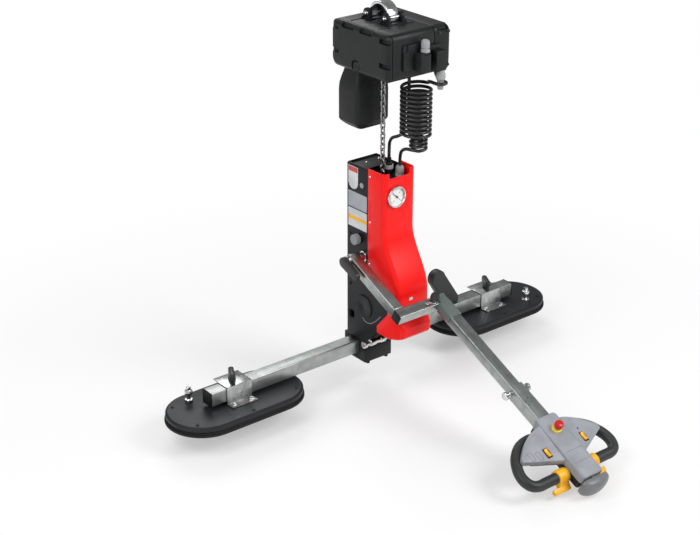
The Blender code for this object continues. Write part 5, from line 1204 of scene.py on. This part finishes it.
def build_head_shell():
    """The grey shell from wing tip to wing tip, with its wells and gaps, and the black shell under it."""
    rings = []
    wing = [0.0346 + 0.1020 * i / 16 for i in range(17)] + [0.1385]

    def wing_ring(x):
        shrink = 0.0018 if abs(x) > 0.138 else 0.0
        front, rear = wing_edge(x)
        front, rear = front + shrink, rear - shrink
        drop = -DROOP * (abs(x) - SPINE_HALF)
        rise = 0.0050 * max(0.0, 1.0 - (abs(x) - SPINE_HALF) / 0.055) ** 2
        section = rounded((-rear, -0.003 + drop + shrink), (-front, WING_HEIGHT + drop - shrink), 0.0030, 4)
        ring = []
        for y, z in section:
            upper = rise * (y + rear) / (rear - front) if z > 0.0055 + drop else 0.0
            ring.append(Vector((x, y, z - FALL * (-y - WING_MIDDLE) + upper)))
        return ring

    for x in reversed(wing):
        rings.append(wing_ring(-x))
    for x, front, rear, top in ((-SPINE_HALF, 0.0060, 0.196, 0.0160), (-0.0325, 0.0030, 0.1985, 0.0190),
                                (-0.0300, 0.0012, 0.1995, 0.0210), (-0.0275, 0.0003, 0.200, 0.0220),
                                (0.0, 0.0003, 0.200, 0.0222), (0.0275, 0.0003, 0.200, 0.0220),
                                (0.0300, 0.0012, 0.1995, 0.0210), (0.0325, 0.0030, 0.1985, 0.0190),
                                (SPINE_HALF, 0.0060, 0.196, 0.0160)):
        section = rounded((-rear, -0.006), (-front, top), 0.0045, 4)
        rings.append([Vector((x, y, z + (0.0222 - top) * (y + rear) / (rear - front) if z > 0.0 else z))
                      for y, z in section])
    for x in wing:
        rings.append(wing_ring(x))
    shell = skin("tiller_shell", rings)
    for side in SIDES.values():
        slope = Matrix.Rotation(-side * math.atan(-DROOP), 4, "Y") @ Matrix.Rotation(math.atan(FALL), 4, "X")
        well = at(side * SWITCH_X, -WING_MIDDLE, wing_top(SWITCH_X, WING_MIDDLE))
        pocket = soften(block("pocket", (-0.0080, -0.0145, -0.0070), (0.0080, 0.0145, 0.0200)), 0.0015, 2, 80.0)
        carve(shell, move(pocket, well))
        lining = pipe("switch_well", rounded((-0.0079, -0.0144), (0.0079, 0.0144), 0.0014, 4),
                      rounded((-0.0056, -0.0122), (0.0056, 0.0122), 0.0006, 4), "z", -0.0069, 0.0002)
        settle(move(lining, well), "black_plastic", "tiller", HEAD)
        line = [(side * x, -b, wing_top(x, b) + 0.0004) for x, b in ((0.056, 0.0330), (0.080, 0.0400),
                                                                     (0.100, 0.0510), (0.116, 0.0660),
                                                                     (0.1230, 0.0840))]
        carve(shell, round_bar("line", smooth_path(line, 0.004), 0.0010, 2))
        if side > 0:
            continue
        for x, b in ((0.110, 0.0830), (0.090, 0.0900)):
            outer = rounded((-0.0064, -0.0127), (0.0064, 0.0127), 0.0032, 5)
            inner = rounded((-0.0054, -0.0117), (0.0054, 0.0117), 0.0022, 5)
            spot = at(side * x, -b, wing_top(x, b)) @ slope
            carve(shell, move(pipe("groove", outer, inner, "z", -0.0010, 0.0030), spot))
            settle(move(pipe(f"button_gap_{round(x * 1000)}", outer, inner, "z", -0.0009, -0.0002), spot),
                   "grey_dark", "tiller", HEAD)
    outer = rounded((-0.0265, -0.1545), (0.0265, -0.1170), 0.0010, 2)
    inner = rounded((-0.0256, -0.1536), (0.0256, -0.1179), 0.0005, 2)
    carve(shell, pipe("groove", outer, inner, "z", 0.0211, 0.0240))
    settle(pipe("panel_gap", outer, inner, "z", 0.0212, 0.0218), "grey_dark", "tiller", HEAD)
    bore(shell, 0.0065, -0.210, -0.176, "y", 32, at(0, 0, 0.006))
    bore(shell, 0.0065, 0.008, 0.030, "z", 32, at(0, -BUTTON_AT, 0))
    settle(shell, "grey", "tiller", HEAD, 30.0, ("head_shell",))

    lower = []
    for level, inset in ((-0.0063, 0.0), (-0.0240, 0.0), (-0.0300, 0.0020), (-0.0340, 0.0070)):
        section = rounded((-SPINE_HALF + inset, -0.196 + inset), (SPINE_HALF - inset, -0.004 - inset), 0.0065, 5)
        lower.append([on_axis("z", p, level) for p in section])
    settle(soften(skin("lower_shell", lower), 0.0010, 2, 25.0), "black_plastic", "tiller", HEAD, 30.0,
           ("head_lower",))
    for name, side in SIDES.items():
        rings = []
        for k in range(9):
            x = 0.0345 + 0.0780 * k / 8
            rear = wing_edge(x)[1] - 0.0022
            base = wing_top(x, WING_MIDDLE) - 0.017
            section = rounded((-rear, base - 0.0058), (-max(0.080, rear - 0.045), base + 0.0012), 0.0022, 3)
            rings.append([Vector((side * x, y, z - FALL * (-y - WING_MIDDLE))) for y, z in section])
        settle(skin(f"wing_underside_{name}", rings), "grey_dark", "tiller", HEAD, 30.0)


def build_grips():
    """Two closed hand loops, each coming back to its lever's hub."""
    for name, side in SIDES.items():
        points = [(0.0343, 0.030), (0.060, 0.026), (0.095, 0.033), (0.128, 0.056), (0.149, 0.087), (0.156, 0.115),
                  (0.149, 0.139), (0.130, 0.1495), (0.105, GRIP_AT), (0.0713, GRIP_AT)]
        path = smooth_path([(side * x, -b, GRIP_LEVEL) for x, b in points], 0.005)
        loop = round_bar("loop", path, 0.0145, 6)
        shaft = round_bar("shaft", [Vector((side * x, -GRIP_AT, GRIP_LEVEL)) for x in (0.0730, 0.0343)], 0.0090, 6)
        settle(gather(f"hand_loop_{name}", [loop, shaft]), "grip", "tiller", HEAD, 50.0, (f"grip_{name}",))


def build_levers():
    for name, side in SIDES.items():
        cam = arc((0, 0), 0.0185, -70, 190, 36)
        cam += [(-0.0225, -0.0112), (-0.0275, -0.0132), (-0.0320, -0.0152), (-0.0345, -0.0182), (-0.0342, -0.0218),
                (-0.0322, -0.0246), (-0.0292, -0.0252), (-0.0235, -0.0236), (-0.0170, -0.0214)]
        low, high = sorted((side * 0.0360, side * 0.0707))
        lever = soften(plate(f"finger_lever_{name}", cam, "x", low, high), 0.0022, 3, 50.0)
        tab = [(-0.0205, -0.0120), (-0.0265, -0.0138), (-0.0318, -0.0158), (-0.0342, -0.0186), (-0.0339, -0.0216),
               (-0.0318, -0.0242), (-0.0292, -0.0248), (-0.0240, -0.0234), (-0.0205, -0.0218)]
        low, high = sorted((side * 0.0600, side * 0.0930))
        carve(lever, soften(plate("tab", tab, "x", low, high), 0.0020, 3, 50.0), "UNION")
        bore(lever, 0.0095, side * 0.030, side * 0.080, "x", 40)
        place = HEAD @ at(0, -GRIP_AT, GRIP_LEVEL)
        settle(lever, "yellow", f"lever_{name}", place, 32.0, (f"thumb_lever_{name}",))


def build_controls():
    spot = HEAD @ at(0, -BUTTON_AT, 0)
    collar = [(0.0065, 0.0224), (0.0132, 0.0224), (0.0132, 0.0258), (0.0126, 0.0276), (0.0112, 0.0284),
              (0.0065, 0.0284)]
    settle(turned("stop_collar", collar, "z", 48, True), "pale_yellow", "tiller", spot, nodes=("button_collar",))
    base = 0.0330
    button = [(0.0060, 0.0160), (0.0060, base), (0.0098, base), (0.0108, base + 0.0008), (0.0118, base + 0.0030),
              (0.0119, base + 0.0105), (0.0113, base + 0.0132), (0.0095, base + 0.0156), (0.0060, base + 0.0167),
              (0.0026, base + 0.0169)]
    settle(turned("stop_button", button, "z", 48), "stop_red", "stop", spot, nodes=("emergency_button",))
    for name, side in SIDES.items():
        outline = [(-0.0110, -0.0055), (0.0110, -0.0055), (0.0115, 0.0035), (0.0060, 0.0014), (0.0, 0.0005),
                   (-0.0060, 0.0014), (-0.0115, 0.0035)]
        rocker = soften(plate(f"switch_rocker_{name}", outline, "x", -0.0048, 0.0048), 0.0007, 2, 40.0)
        place = HEAD @ at(side * SWITCH_X, -WING_MIDDLE, 0.0109 + 0.0014)
        settle(rocker, "yellow", f"switch_{name}", place, nodes=(f"rocker_{name}",))
    spot = HEAD @ at(0.066, -0.066, wing_top(0.066, 0.066))
    lamp = turned("signal_lamp", [(0.0024, -0.0010), (0.0024, 0.0006), (0.0016, 0.0011)], "z", 20)
    settle(lamp, "ink", "tiller", spot)
    ring = [(0.0031, -0.0008), (0.0038, -0.0008), (0.0037, 0.0005), (0.0031, 0.0005)]
    settle(turned("lamp_ring", ring, "z", 24, True), "grey_dark", "tiller", spot)


def build_nose():
    """The rounded end that yields when it is pressed against something."""
    rings = []
    stages = [(-0.0300, 0.0320), (-0.0290, 0.0345), (-0.0265, 0.0390), (-0.0220, 0.0428), (-0.0150, 0.0455),
              (-0.0060, 0.0468), (0.0030, 0.0458), (0.0100, 0.0440), (0.0150, 0.0405), (0.0180, 0.0365),
              (0.0190, 0.0340)]
    for level, half in stages:
        ring = [(-half, -0.2053)]
        for i in range(33):
            angle = math.pi * i / 32
            ring.append((-half * math.cos(angle), -0.2113 - 0.022 * math.sin(angle) * half / 0.047))
        ring.append((half, -0.2053))
        rings.append([on_axis("z", p, level) for p in ring])
    body = soften(skin("nose", rings), 0.0012, 2, 60.0)
    stem = move(turned("stem", [(0.0060, -0.2060), (0.0060, -0.1840)], "y", 28), at(0, 0, 0.006))
    settle(gather("yielding_nose", [body, stem]), "nose", "nose", HEAD, 32.0, ("nose_bumper",))


def dress_guide():
    """The small guide under the hoist keeps its given shape and only gets its finish."""
    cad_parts["chain_guide"].material_slots[0].material = FINISHES["zinc"]


set_camera()
set_light()
lay_floor()
build_cables()
build_housing()
build_sockets()
build_suspension()
build_chain_box()
build_chain()
build_frame()
build_plates()
build_cover()
build_gauge()
build_terminals()
build_side_parts()
build_beam()
build_pads()
build_bail()
build_sleeve()
build_head_shell()
build_grips()
build_levers()
build_controls()
build_nose()
dress_guide()
